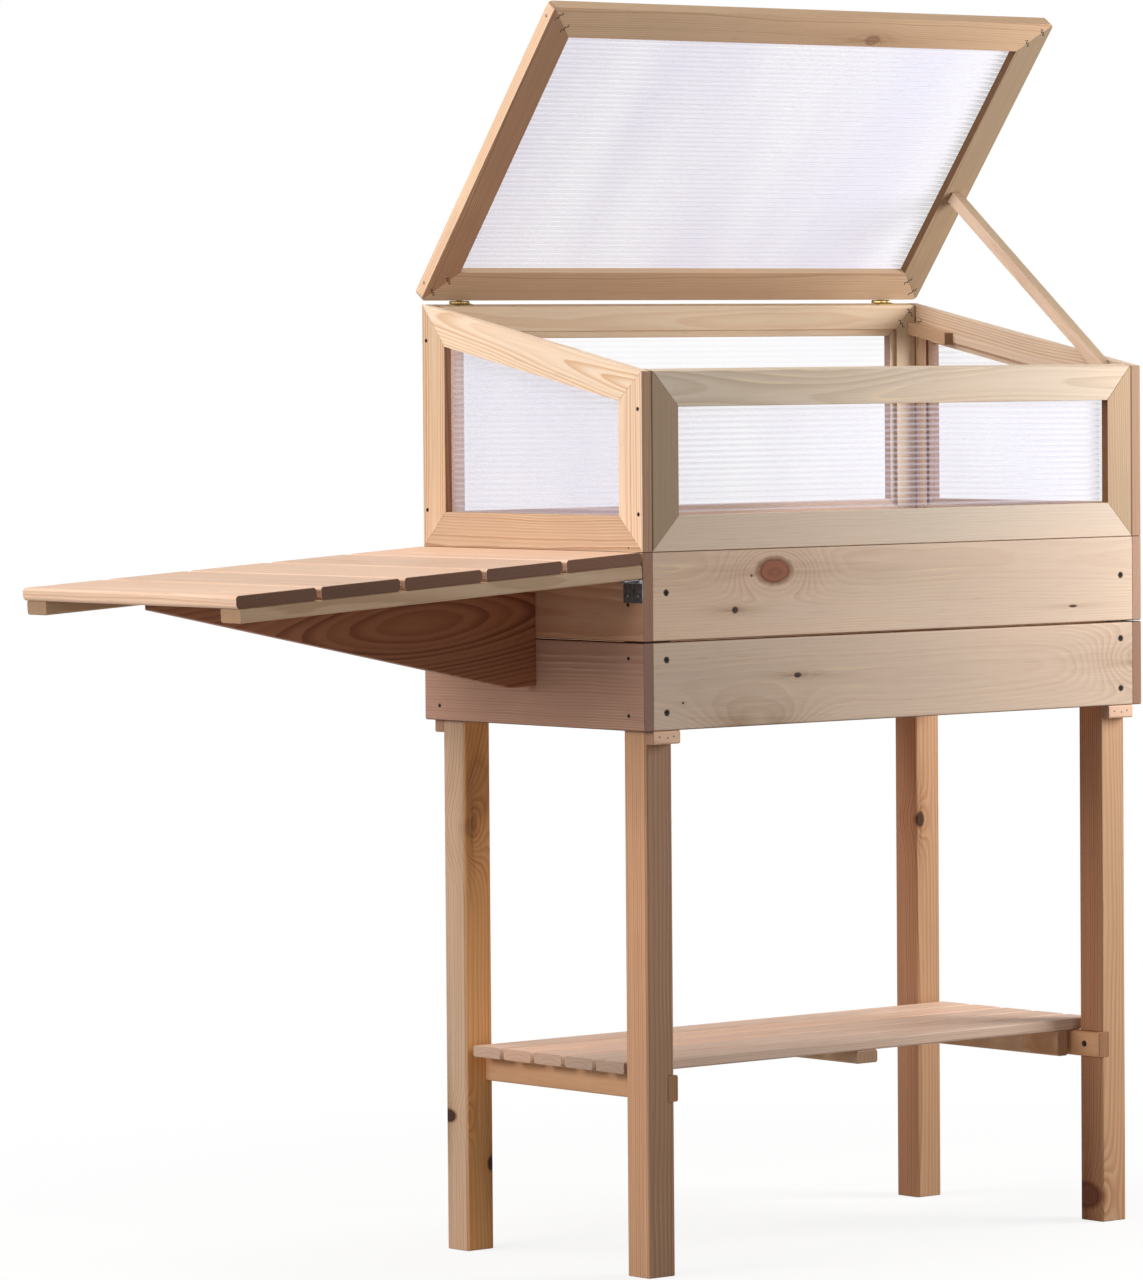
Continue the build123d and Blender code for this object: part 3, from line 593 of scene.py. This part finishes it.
# The stick's upper narrow face carries painted shade
larch("prop_stick", STICK_WAY, -X, SAND, 341.7, ring=0.0020, figure=0.4, edges=(SHADED_TOP_PAINT, SAME),
      relief=0.15)
larch("prop_rest_block", ROOF_WAY, -X, OLIVE, 347.9, ring=0.0020)

# Side table; a bow of the log makes the oval of rings on the bracket
TABLE_PITCH = 0.1147
BRACKET_BOW = (0.102, 0.001, 0.007, 0.040, -0.9, 1.0, 0.0, 0.0)
# The slats' cut ends are darkened almost fully: end grain with painted shade
larch("table_slats", Y, TABLE_UP, BLUSH, 401.2, heart=(0.02, -0.05), ring=0.0030, rows=TABLE_PITCH,
      row_tone=0.36, flame=0.2, end=0.95)
for number, end in enumerate(("front", "rear")):
    larch(f"table_batten_{end}", TABLE_WAY, -Y, OLIVE, 419.6 + 8 * number, ring=0.0022, figure=0.8)
larch("table_bracket", TABLE_WAY, -Y, RUSSET, 433.8, heart=(0.0, -0.025), ring=0.0058, wander=0.010,
      figure=0.60, flame=0.0, knots=(BRACKET_BOW,))

# Shelf
SHELF_PITCH = 0.0533
larch("shelf_slats", X, Z, SHELL, 449.1, ring=0.0026, rows=SHELF_PITCH, row_tone=0.30, end=0.35)
larch("shelf_rails", Y, -X, TAN, 457.7, ring=0.0030, figure=0.9)
larch("shelf_battens", Y, -X, PEACH, 463.2, ring=0.0030, figure=0.9)

# The stick's round foot is left as it is
ROUND_FOOTED = "prop_stick"
for name, piece in nodes.items():
    wooden = piece.data.materials and piece.data.materials[0].name.startswith("larch_")
    if wooden and name != ROUND_FOOTED:
        eased(piece)

# Panes
RIB_PITCH = 0.0066
RIB_SIDES = 0.06, 0.34
# Soft bands across a sheet: painted reflections
REFLECTION_BAND_SCALE, REFLECTION_BAND_SHARE = (7.0, 1.2, 0.0), 0.22
LAP_BLUR = 0.0003
RIB_COLOUR, BAY_COLOUR, REFLECTION_BAND_COLOUR = srgb(236, 235, 255), srgb(226, 224, 254), srgb(206, 204, 250)


def sheet_group():
    """Twin-wall sheet: ribs at an even pitch, clearer lavender channels and soft pale bands across.

    Bay and Ribs are how opaque the channels and ribs are; the soft bands are painted reflections, in colour
    and in opacity. Half is half the clear opening, along and up, and Slope and Drop tilt its upper edge; the
    lap beyond it lies on wood and is left clear.
    """
    w, given, made = node_group("twin_wall", {
        "Board": (0, 0, 0), "Pitch": RIB_PITCH, "Bay": 0.04, "Ribs": 0.16, "Shaded Tone": 1.0, "Half": (1, 1, 0),
        "Up": 1.0, "Slope": 0.0, "Drop": 0.0},
        {"Colour": "Color", "Alpha": "Float", "Roughness": "Float", "Height": "Float"})
    along, across, _ = w.parts(given["Board"])
    half_long, half_wide, _ = w.parts(given["Half"])
    up = w.times(across, given["Up"])
    past_end = w.minus(w.math("ABSOLUTE", along), half_long)
    past_foot = w.minus(w.times(up, -1.0), half_wide)
    level = w.minus(up, w.times(along, given["Slope"]))
    past_top = w.minus(w.plus(level, given["Drop"]), half_wide)
    past = w.math("MAXIMUM", past_end, w.math("MAXIMUM", past_foot, past_top))
    shown = w.ramp(past, -LAP_BLUR, LAP_BLUR, 1.0, 0.0)
    part = w.math("FRACT", w.math("DIVIDE", across, given["Pitch"]))
    off = w.math("ABSOLUTE", w.minus(part, 0.5))
    rib = w.ramp(off, *RIB_SIDES, 1.0, 0.0)
    # Painted reflections: soft bands in the sheet's colour and opacity
    reflection_band = w.ramp(w.noise(w.vector("MULTIPLY", given["Board"], REFLECTION_BAND_SCALE), 1.0, 1.0), 0.35, 0.65)
    ribs = w.times(w.plus(rib, w.times(reflection_band, REFLECTION_BAND_SHARE)), given["Ribs"])
    w.put(w.times(w.plus(ribs, given["Bay"]), shown), made["Alpha"])
    colour = w.mix(rib, w.mix(reflection_band, BAY_COLOUR, REFLECTION_BAND_COLOUR), RIB_COLOUR)
    # Painted shade: the colour darkened by the pane's tone
    w.put(w.mix(1.0, colour, given["Shaded Tone"], "MULTIPLY"), made["Colour"])
    w.put(w.plus(w.times(rib, 0.15), 0.28), made["Roughness"])
    w.put(rib, made["Height"])
    return w.tree


SHEET = sheet_group()
SHEET_THICK, SHEET_LAP = 0.004, 0.008
SHEET_SHADE = 0.3
SHEET_RELIEF, SHEET_GLOSS = (0.0003, 0.25), 0.35
# How opaque each pane's channels and ribs are, and its tone: painted shade that darkens the left and right
# panes, which the lamps light strongly
PANES = {"front": (0.055, 0.16, 1.0), "rear": (0.030, 0.05, 1.0), "left": (0.180, 0.12, 0.70),
         "right": (0.060, 0.10, 0.8), "lid": (0.020, 0.44, 1.0)}


def sheet(name, along, face, look, slope=0.0, lap=SHEET_LAP):
    """Twin-wall sheet on a pane, with its channels along one way.

    look is one of PANES; slope is the rise of its upper edge; lap is how much of its border is left clear.
    The sheet scatters light, so its shadow is even and shows no ribs.
    """
    low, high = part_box(name)
    material, w, shader = new_material(f"sheet_{name}")
    across = Vector(face).cross(along)
    _, board = board_place(w, (low + high) / 2, along, across, face)
    span = high - low
    long = span.dot(along)
    wide = abs(span.y * across.y) + abs(span.z * across.z) - 2 * SHEET_THICK * abs(across.y * across.z)
    # The last part of a look is the painted shade on its colour
    bay, ribs, shaded_tone = look
    group = w.group(SHEET, {
        "Board": board, "Bay": bay, "Ribs": ribs, "Shaded Tone": shaded_tone, "Half": (long / 2 - lap, wide / 2 - lap, 0),
        "Up": 1.0 if across.z > 0 else -1.0, "Slope": slope, "Drop": slope * long / 2})
    coat(w, group, shader, *SHEET_RELIEF)
    shadow = w.node("ShaderNodeLightPath").outputs["Is Shadow Ray"]
    w.put(w.between(shadow, group.outputs["Alpha"], SHEET_SHADE * (bay + ribs)), shader.inputs["Alpha"])
    shader.inputs["Specular IOR Level"].default_value = SHEET_GLOSS
    dress(nodes[name], material)


for end, face in {"front": -Y, "rear": Y}.items():
    sheet(f"{end}_frame_pane", X, face, PANES[end])
for side, face in {"left": -X, "right": X}.items():
    sheet(f"{side}_frame_pane", Y, face, PANES[side], slope=ROOF_WAY.z / ROOF_WAY.y)
sheet("lid_pane", X, LID_UNDER, PANES["lid"], lap=0.0)

# Metal
CLOUD_SCALE, SCRATCH_SCALE = 220.0, (300.0, 2600.0, 2600.0)
METAL_RELIEF = 0.00005, 0.3


def metal_group():
    """Thin metal with fine scratches and soft cloudy wear."""
    w, given, made = node_group("plated_metal", {
        "Place": (0, 0, 0), "Bright": (1, 1, 1, 1), "Dull": (1, 1, 1, 1), "Rough": 0.35},
        {"Colour": "Color", "Roughness": "Float", "Height": "Float"})
    cloud = w.noise(given["Place"], CLOUD_SCALE, 3.0)
    scratch = w.noise(w.vector("MULTIPLY", given["Place"], SCRATCH_SCALE), 1.0, 2.0)
    w.put(w.mix(w.ramp(cloud, 0.35, 0.7), given["Bright"], given["Dull"]), made["Colour"])
    wear = w.plus(w.times(cloud, 0.2), w.times(scratch, 0.12))
    w.put(w.plus(wear, w.minus(given["Rough"], 0.16)), made["Roughness"])
    w.put(scratch, made["Height"])
    return w.tree


METAL = metal_group()


def plated(name, bright, dull, rough, metallic):
    """Metal finish of hinges and screws."""
    material, w, shader = new_material(name)
    place = w.node("ShaderNodeTexCoord").outputs["Object"]
    group = w.group(METAL, {"Place": place, "Bright": bright, "Dull": dull, "Rough": rough})
    shader.inputs["Metallic"].default_value = metallic
    coat(w, group, shader, *METAL_RELIEF)
    return material


BRASS = plated("brass", srgb(150, 124, 76), srgb(88, 70, 44), 0.42, 1.0)
GALVANISED = plated("galvanised_steel", srgb(122, 120, 122), srgb(82, 80, 82), 0.46, 1.0)
DARK_STEEL = plated("dark_steel", srgb(50, 41, 34), srgb(28, 23, 19), 0.60, 0.4)
for name in nodes:
    if name.startswith("lid_hinge"):
        dress(nodes[name], BRASS)
    elif name.startswith(("table_hinge", "bracket_hinge")):
        dress(nodes[name], GALVANISED)
    elif name in ("board_screws", "prop_pivot_screw"):
        dress(nodes[name], DARK_STEEL)

# Small hardware, made as closed skins
SHARP_ANGLE = radians(35)


def closed_skins(name, loops, material, body):
    """One piece of many closed skins: rings are joined and ends capped.

    loops is (skins, rings, points round, 3).
    """
    skins, rings, around, _ = loops.shape
    index = np.arange(skins * rings * around).reshape(skins, rings, around)
    here, ahead = index[:, :-1], index[:, 1:]
    sides = np.stack((here, np.roll(here, -1, 2), np.roll(ahead, -1, 2), ahead), axis=-1).reshape(-1, 4)
    caps = np.concatenate((index[:, 0, ::-1], index[:, -1]))
    mesh = bpy.data.meshes.new(name)
    mesh.from_pydata(loops.reshape(-1, 3).tolist(), [], sides.tolist() + caps.tolist())
    work = bmesh.new()
    work.from_mesh(mesh)
    bmesh.ops.recalc_face_normals(work, faces=work.faces)
    work.to_mesh(mesh)
    work.free()
    mesh.shade_smooth()
    mesh.set_sharp_from_angle(angle=SHARP_ANGLE)
    piece = bpy.data.objects.new(name, mesh)
    scene.collection.objects.link(piece)
    dress(piece, material)
    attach(piece, body)
    return piece


def turned_skins(points, ways, profile, around, cross=0.0, reach=0.0):
    """Turned shapes at points, each driven along its way.

    profile is rows of radius and depth. A point of a ring lies at its radius and angle round the way, sunk by
    its depth; where the lesser of its two offsets from the middle is under cross, and its radius under reach,
    it is sunk by a further drive recess.
    """
    points, ways = np.array(points, float), np.array(ways, float)
    ways /= np.linalg.norm(ways, axis=1, keepdims=True)
    helper = np.where(np.abs(ways[:, 2:]) > 0.9, (1.0, 0.0, 0.0), (0.0, 0.0, 1.0))
    first = np.cross(ways, helper)
    first /= np.linalg.norm(first, axis=1, keepdims=True)
    second = np.cross(ways, first)
    radius, depth = np.array(profile, float).T
    angle = np.linspace(0, 2 * np.pi, around, endpoint=False)
    offsets = np.stack((np.cos(angle), np.sin(angle)))[:, None, :] * radius[None, :, None]
    narrow = np.clip((cross - np.abs(offsets).min(axis=0)) / max(cross, 1e-9), 0, 1)
    inside = np.clip((reach - radius) / max(reach, 1e-9) * 3, 0, 1)[:, None]
    top = (np.arange(len(radius)) < np.argmax(radius))[:, None]
    sunk = depth[:, None] + DRIVE_RECESS * narrow * inside * top
    return (points[:, None, None, :] + ways[:, None, None, :] * sunk[None, :, :, None]
            + first[:, None, None, :] * offsets[0][None, :, :, None]
            + second[:, None, None, :] * offsets[1][None, :, :, None])


def wavy_strips(points, ways, outs):
    """Corrugated fasteners at points: a thin strip along its way, set on edge into the wood.

    Its middle line swings to the sides as a sine of the distance along it; the section is a thin rectangle
    that stands a little proud and reaches into the wood.
    """
    points, ways, outs = (np.array(rows, float) for rows in (points, ways, outs))
    ways /= np.linalg.norm(ways, axis=1, keepdims=True)
    outs /= np.linalg.norm(outs, axis=1, keepdims=True)
    sides = np.cross(outs, ways)
    along = np.linspace(-FASTENER_LENGTH / 2, FASTENER_LENGTH / 2, FASTENER_STEPS)
    swing = FASTENER_SWING * np.sin(2 * np.pi * along / FASTENER_WAVE)
    thin = FASTENER_THIN / 2
    section = np.array(((-thin, FASTENER_PROUD), (thin, FASTENER_PROUD), (thin, -FASTENER_DEEP),
                        (-thin, -FASTENER_DEEP)))
    across = swing[:, None] + section[None, :, 0]
    return (points[:, None, None, :] + ways[:, None, None, :] * along[None, :, None, None]
            + sides[:, None, None, :] * across[None, :, :, None]
            + outs[:, None, None, :] * section[None, None, :, 1, None])


# Depth of a screw's drive recess, and measures of the corrugated fasteners
DRIVE_RECESS = 0.0012
FASTENER_LENGTH = 0.013
FASTENER_SWING = 0.0012
FASTENER_WAVE = 0.0056
FASTENER_THIN = 0.0011
FASTENER_PROUD = 0.0003
FASTENER_DEEP = 0.004
FASTENER_STEPS = 33
# Turned profiles, radius and depth, and how each is made: points round, width and reach of its recess
SUNK = 0.0011
WOOD_SCREW = np.array((
    (0.4, 0), (0.9, 0), (1.4, 0), (1.9, 0), (2.4, 0), (3.3, 0), (3.65, 0.25), (3.7, 0.6), (2.1, 1.8),
    (2.0, 28.0), (0.6, 29.5))) / 1000 + (0, SUNK)
SLIM_SCREW = WOOD_SCREW * (0.63, 1.0)
LID_SCREW = WOOD_SCREW * (0.52, 0.5) - (0, 0.0007)
DOME_SCREW = np.array((
    (0.3, -0.75), (0.7, -0.72), (1.1, -0.66), (1.5, -0.52), (2.0, -0.25), (2.3, 0.1), (1.1, 0.5), (0.9, 5.0),
    (0.2, 6.5))) / 1000
SMALL_SCREW = DOME_SCREW * (0.75, 0.6)
NAIL = np.array(((0.3, -0.22), (0.7, -0.18), (1.0, -0.05), (1.0, 0.2), (0.5, 6.0), (0.15, 9.0))) / 1000
WOOD_MAKE = {"around": 24, "cross": 0.0008, "reach": 0.0026}
SLIM_MAKE = {"around": 24, "cross": 0.0005, "reach": 0.0016}
LID_MAKE = {"around": 20, "cross": 0.0004, "reach": 0.0014}
DOME_MAKE = {"around": 18, "cross": 0.0006, "reach": 0.0018}
SMALL_MAKE = {"around": 16, "cross": 0.0005, "reach": 0.0013}
NAIL_MAKE = {"around": 12}

# The solids' own measures
HALF_WIDTH, HALF_DEPTH, BOARD = 0.390, 0.193, 0.014
INNER_X, INNER_Y = HALF_WIDTH - BOARD, HALF_DEPTH - BOARD
LEG_X, LEG_Y = 0.356, 0.160
UNDERSIDE, RIM, FRONT_TOP, REAR_TOP = 0.614, 0.814, 1.015, 1.093
MEMBER = 0.040
RAIL_INNER, RAIL_MIDDLE = 0.331, 0.211

# Screws of the boards, above the underside, and how far screws lie from a leg's middle or a member's end
BOARD_SCREWS, SIDE_SCREWS = (0.154, 0.079, 0.020), (0.141, 0.081, 0.017)
SIDE_SHIFT, RAIL_SHIFT, FRAME_INSET = 0.007, 0.0064, 0.042


def bed_screws():
    """Screws of the boards, the shelf's rails and the cold frame, in the solids' own screw holes."""
    points, ways, side_points, side_ways = [], [], [], []
    for end, top in ((-1, FRONT_TOP), (1, REAR_TOP)):
        for side in (-1, 1):
            for height in BOARD_SCREWS:
                points.append((side * LEG_X, end * HALF_DEPTH, UNDERSIDE + height))
                ways.append((0, -end, 0))
            points.append((side * RAIL_INNER, end * (LEG_Y - RAIL_SHIFT), RAIL_MIDDLE))
            ways.append((side, 0, 0))
            for height in SIDE_SCREWS:
                side_points.append((side * HALF_WIDTH, end * (LEG_Y + SIDE_SHIFT), UNDERSIDE + height))
                side_ways.append((-side, 0, 0))
            for height in (RIM + FRAME_INSET, top - FRAME_INSET):
                side_points.append((side * HALF_WIDTH, end * (HALF_DEPTH - BOARD / 2), height))
                side_ways.append((-side, 0, 0))
    wide = turned_skins(points, ways, WOOD_SCREW, **WOOD_MAKE)
    slim = turned_skins(side_points, side_ways, SLIM_SCREW, **SLIM_MAKE)
    piece = closed_skins("wood_screws", np.concatenate((wide, slim)), DARK_STEEL, "bed")
    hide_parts("board_screws")


LID_AXIS = Vector((0, 0.195017, 1.094632))
LID_SEAT = 0.0012
LID_HALF, LID_REAR, LID_FRONT, LID_THICK = 0.3905, 0.0023, 0.4103, 0.014
LID_MITRE_INSETS, LID_EDGE_SCREWS = (0.012, 0.028), (0.0227, 0.3942)
LID_HINGE, LID_HINGE_SPREAD = 0.3325, 0.008
LID_LEAF = 0.0013, 0.0062
FRAME_LEAF_BACK, FRAME_LEAF_DOWN = 0.0076, 0.0002


def on_lid(u, v, w):
    """Point of the open lid: u across, v from the hinge axis to the free edge, w above its underside."""
    return LID_AXIS + X * u + LID_WAY * v - LID_UNDER * (w + LID_SEAT)


def lid_hardware():
    """Corrugated fasteners across the lid's mitres, screws in its side edges and in its hinge leaves."""
    points, ways = [], []
    for side in (-1, 1):
        for edge, way in ((LID_REAR, 1), (LID_FRONT, -1)):
            for inset in LID_MITRE_INSETS:
                points.append(on_lid(side * (LID_HALF - inset), edge + way * inset, 0))
                ways.append(X * side + LID_WAY * way)
    loops = wavy_strips(points, ways, [LID_UNDER] * len(points))
    closed_skins("lid_corrugated_fasteners", loops, DARK_STEEL, "lid")
    points = [on_lid(side * LID_HALF, v, LID_THICK / 2) for side in (-1, 1) for v in LID_EDGE_SCREWS]
    loops = turned_skins(points, [X, X, -X, -X], LID_SCREW, **LID_MAKE)
    closed_skins("lid_edge_screws", loops, DARK_STEEL, "lid")
    spots = [side * LID_HINGE + way * LID_HINGE_SPREAD for side in (-1, 1) for way in (-1, 1)]
    points = [on_lid(u, *LID_LEAF) for u in spots]
    loops = turned_skins(points, [LID_WAY] * 4, SMALL_SCREW, **SMALL_MAKE)
    closed_skins("lid_hinge_screws", loops, BRASS, "lid")
    points = [LID_AXIS + X * u - ROOF_WAY * FRAME_LEAF_BACK - ROOF_UP * FRAME_LEAF_DOWN for u in spots]
    loops = turned_skins(points, [-ROOF_UP] * 4, SMALL_SCREW, **SMALL_MAKE)
    closed_skins("lid_hinge_frame_screws", loops, BRASS, "bed")


# Mitres of the cold frame: how much the sloping roof rises through a board, where its side mitres end inside,
# as end, outer height and inner height, and where the fasteners lie along a mitre
ROOF_RISE = 0.0028
SIDE_MITRES = (
    (-1, RIM, RIM + MEMBER), (1, RIM, RIM + MEMBER), (-1, FRONT_TOP, 0.98227), (1, REAR_TOP, 1.04411))
END_SHARES, SIDE_SHARES = (0.24, 0.60), (0.50, 0.72)


def frame_fasteners():
    """Corrugated fasteners across the mitres on the inner faces of the cold frame's four walls."""
    points, ways, outs = [], [], []
    for end, top in ((-1, FRONT_TOP), (1, REAR_TOP)):
        for side in (-1, 1):
            for start, stop in ((RIM, RIM + MEMBER), (top - end * ROOF_RISE, top - MEMBER)):
                outer = Vector((side * INNER_X, end * INNER_Y, start))
                inner = Vector((side * (INNER_X - MEMBER), end * INNER_Y, stop))
                for share in END_SHARES:
                    points.append(outer.lerp(inner, share))
                    ways.append((inner - outer).cross(Y))
                    outs.append(-Y * end)
    for side in (-1, 1):
        for end, start, stop in SIDE_MITRES:
            outer = Vector((side * INNER_X, end * HALF_DEPTH, start))
            inner = Vector((side * INNER_X, end * (HALF_DEPTH - MEMBER), stop))
            for share in SIDE_SHARES:
                points.append(outer.lerp(inner, share))
                ways.append((inner - outer).cross(X))
                outs.append(-X * side)
    loops = wavy_strips(points, ways, outs)
    closed_skins("frame_corrugated_fasteners", loops, DARK_STEEL, "bed")


TABLE_AXIS = Vector((-0.3928, 0, 0.7812))
TABLE_TURN = Matrix.Rotation(-TABLE_DROOP, 3, "Y")
# Middles of the hinges, the spread of their screws, and where the screws lie on each leaf
TABLE_HINGE, TABLE_HINGE_SPREAD = 0.177, 0.0085
BRACKET_HINGES, BRACKET_HINGE_SPREAD = (-0.4447, -0.7888), 0.009
BED_LEAF_X, BED_LEAF_Z = -0.3912, 0.7655
TABLE_LEAF_X, TABLE_LEAF_Z = -0.4085, 0.7828
UNDER_LEAF, BRACKET_LEAF = (0.0213, 0.7990), (0.0080, 0.7857)


def on_table(x, y, z):
    """Point of the let-down table from its place on the level table."""
    return TABLE_AXIS + TABLE_TURN @ (Vector((x, y, z)) - TABLE_AXIS)


def hinge_screws():
    """Domed screws in the table's hinges and in the bracket's hinges."""
    spots = [end * TABLE_HINGE + way * TABLE_HINGE_SPREAD for end in (-1, 1) for way in (-1, 1)]
    under = [middle + way * BRACKET_HINGE_SPREAD for middle in BRACKET_HINGES for way in (-1, 1)]
    points = [Vector((BED_LEAF_X, y, BED_LEAF_Z)) for y in spots]
    loops = turned_skins(points, [X] * len(points), DOME_SCREW, **DOME_MAKE)
    closed_skins("table_hinge_bed_screws", loops, GALVANISED, "bed")
    points = [on_table(TABLE_LEAF_X, y, TABLE_LEAF_Z) for y in spots]
    points += [on_table(x, *UNDER_LEAF) for x in under]
    loops = turned_skins(points, [TABLE_UP] * len(points), DOME_SCREW, **DOME_MAKE)
    closed_skins("table_hinge_table_screws", loops, GALVANISED, "table")
    points = [on_table(x, *BRACKET_LEAF) for x in under]
    loops = turned_skins(points, [-Y] * len(points), DOME_SCREW, **DOME_MAKE)
    closed_skins("bracket_hinge_screws", loops, GALVANISED, "bracket")


# Nails of a cleat, from the leg's middle and the cleat's, and the one in the left bottom rail
CLEAT_NAILS, CLEAT_MIDDLE = ((-0.011, 0.0008), (0.001, -0.0006), (0.010, 0.0010)), UNDERSIDE - 0.0075
RAIL_NAIL = -HALF_WIDTH, -0.1688, 0.8185


def cleat_nails():
    """Three nails in each cleat, and one low in the left bottom rail."""
    points, ways = [], []
    for end in (-1, 1):
        for side in (-1, 1):
            for shift, lift in CLEAT_NAILS:
                points.append((side * LEG_X + shift, end * HALF_DEPTH, CLEAT_MIDDLE + lift))
                ways.append((0, -end, 0))
    points.append(RAIL_NAIL)
    ways.append((1, 0, 0))
    loops = turned_skins(points, ways, NAIL, **NAIL_MAKE)
    closed_skins("cleat_nails", loops, DARK_STEEL, "bed")


bed_screws()
lid_hardware()
frame_fasteners()
hinge_screws()
cleat_nails()

# Floor, light and background
FLOOR_SPAN, FLOOR_HEIGHT, FLOOR_CELLS = 12.0, -0.0005, 8
FLOOR_LIT, FLOOR_SEEN = (0.42, 0.41, 0.40, 1), (0.95, 0.95, 0.95, 1)
# The shadow fades to white from one distance to another, from a share of white
SHADOW_FADES, SHADOW_WHITE = (0.5, 1.6), 0.84
WORLD_COLOUR, WORLD_STRENGTH = (1.0, 0.98, 0.97, 1), 0.17
BED_MIDDLE = Vector((0, 0, 0.8))
# Lamps: name, place, width, height, power and colour
LAMPS = (
    ("left_window", (-3.2, 0.15, 1.40), 1.8, 0.9, 54, (1.0, 0.97, 0.94)),
    ("roof_light", (-1.3, 0.5, 3.2), 1.8, 1.8, 60, (1.0, 0.98, 0.95)),
    ("right_window", (1.30, -0.90, 1.1), 0.8, 0.8, 28, (1.0, 0.98, 0.97)))


def soft_lamp(name, place, width, height, energy, colour):
    """Oblong lamp at a place, turned to the middle of the bed."""
    lamp = bpy.data.lights.new(name, "AREA")
    lamp.shape = "RECTANGLE"
    lamp.size = width
    lamp.size_y = height
    lamp.energy = energy
    lamp.color = colour
    light = bpy.data.objects.new(name, lamp)
    light.location = place
    light.rotation_euler = (BED_MIDDLE - light.location).to_track_quat("-Z", "Y").to_euler()
    scene.collection.objects.link(light)


def seen_rays(w):
    """Rays that show the background: the camera's own, mirrored and let through."""
    rays = w.node("ShaderNodeLightPath")
    seen = w.math("MAXIMUM", rays.outputs["Is Camera Ray"], rays.outputs["Is Glossy Ray"])
    return w.math("MAXIMUM", seen, rays.outputs["Is Transmission Ray"])


def blended(w, factor, first, second, output):
    """Put one shader, or another by the factor, on the output."""
    blend = w.node("ShaderNodeMixShader", factor, first.outputs[0], second.outputs[0])
    w.put(blend.outputs[0], output.inputs["Surface"])


def white_floor():
    """Level floor, white where it is seen, that keeps the shadow and sends little light back."""
    count = FLOOR_CELLS + 1
    steps = np.linspace(-FLOOR_SPAN, FLOOR_SPAN, count)
    grid_x, grid_y = np.meshgrid(steps, steps)
    points = np.stack((grid_x, grid_y, np.full_like(grid_x, FLOOR_HEIGHT)), axis=-1).reshape(-1, 3)
    corner = (np.arange(FLOOR_CELLS)[:, None] * count + np.arange(FLOOR_CELLS)[None, :]).ravel()
    faces = np.stack((corner, corner + 1, corner + count + 1, corner + count), axis=-1)
    mesh = bpy.data.meshes.new("floor")
    mesh.from_pydata(points.tolist(), [], faces.tolist())
    floor = bpy.data.objects.new("floor", mesh)
    scene.collection.objects.link(floor)
    material, w, shader = new_material("studio_floor")
    w.tree.nodes.remove(shader)
    diffuse = w.node("ShaderNodeBsdfDiffuse")
    glow = w.node("ShaderNodeEmission")
    seen = seen_rays(w)
    w.put(w.mix(seen, FLOOR_LIT, FLOOR_SEEN), diffuse.inputs["Color"])
    away = w.vector("LENGTH", w.node("ShaderNodeTexCoord").outputs["Object"])
    white = w.times(seen, w.ramp(away, *SHADOW_FADES, SHADOW_WHITE, 1.0))
    blended(w, white, diffuse, glow, w.tree.nodes["Material Output"])
    dress(floor, material)


def white_world():
    """Soft even light, white where it is seen."""
    world = bpy.data.worlds.new("studio")
    scene.world = world
    world.use_nodes = True
    w = Wiring(world.node_tree)
    soft = w.tree.nodes["Background"]
    soft.inputs["Color"].default_value = WORLD_COLOUR
    soft.inputs["Strength"].default_value = WORLD_STRENGTH
    white = w.node("ShaderNodeBackground")
    white.inputs["Color"].default_value = (1, 1, 1, 1)
    blended(w, seen_rays(w), soft, white, w.tree.nodes["World Output"])


white_floor()
white_world()
for lamp in LAMPS:
    soft_lamp(*lamp)
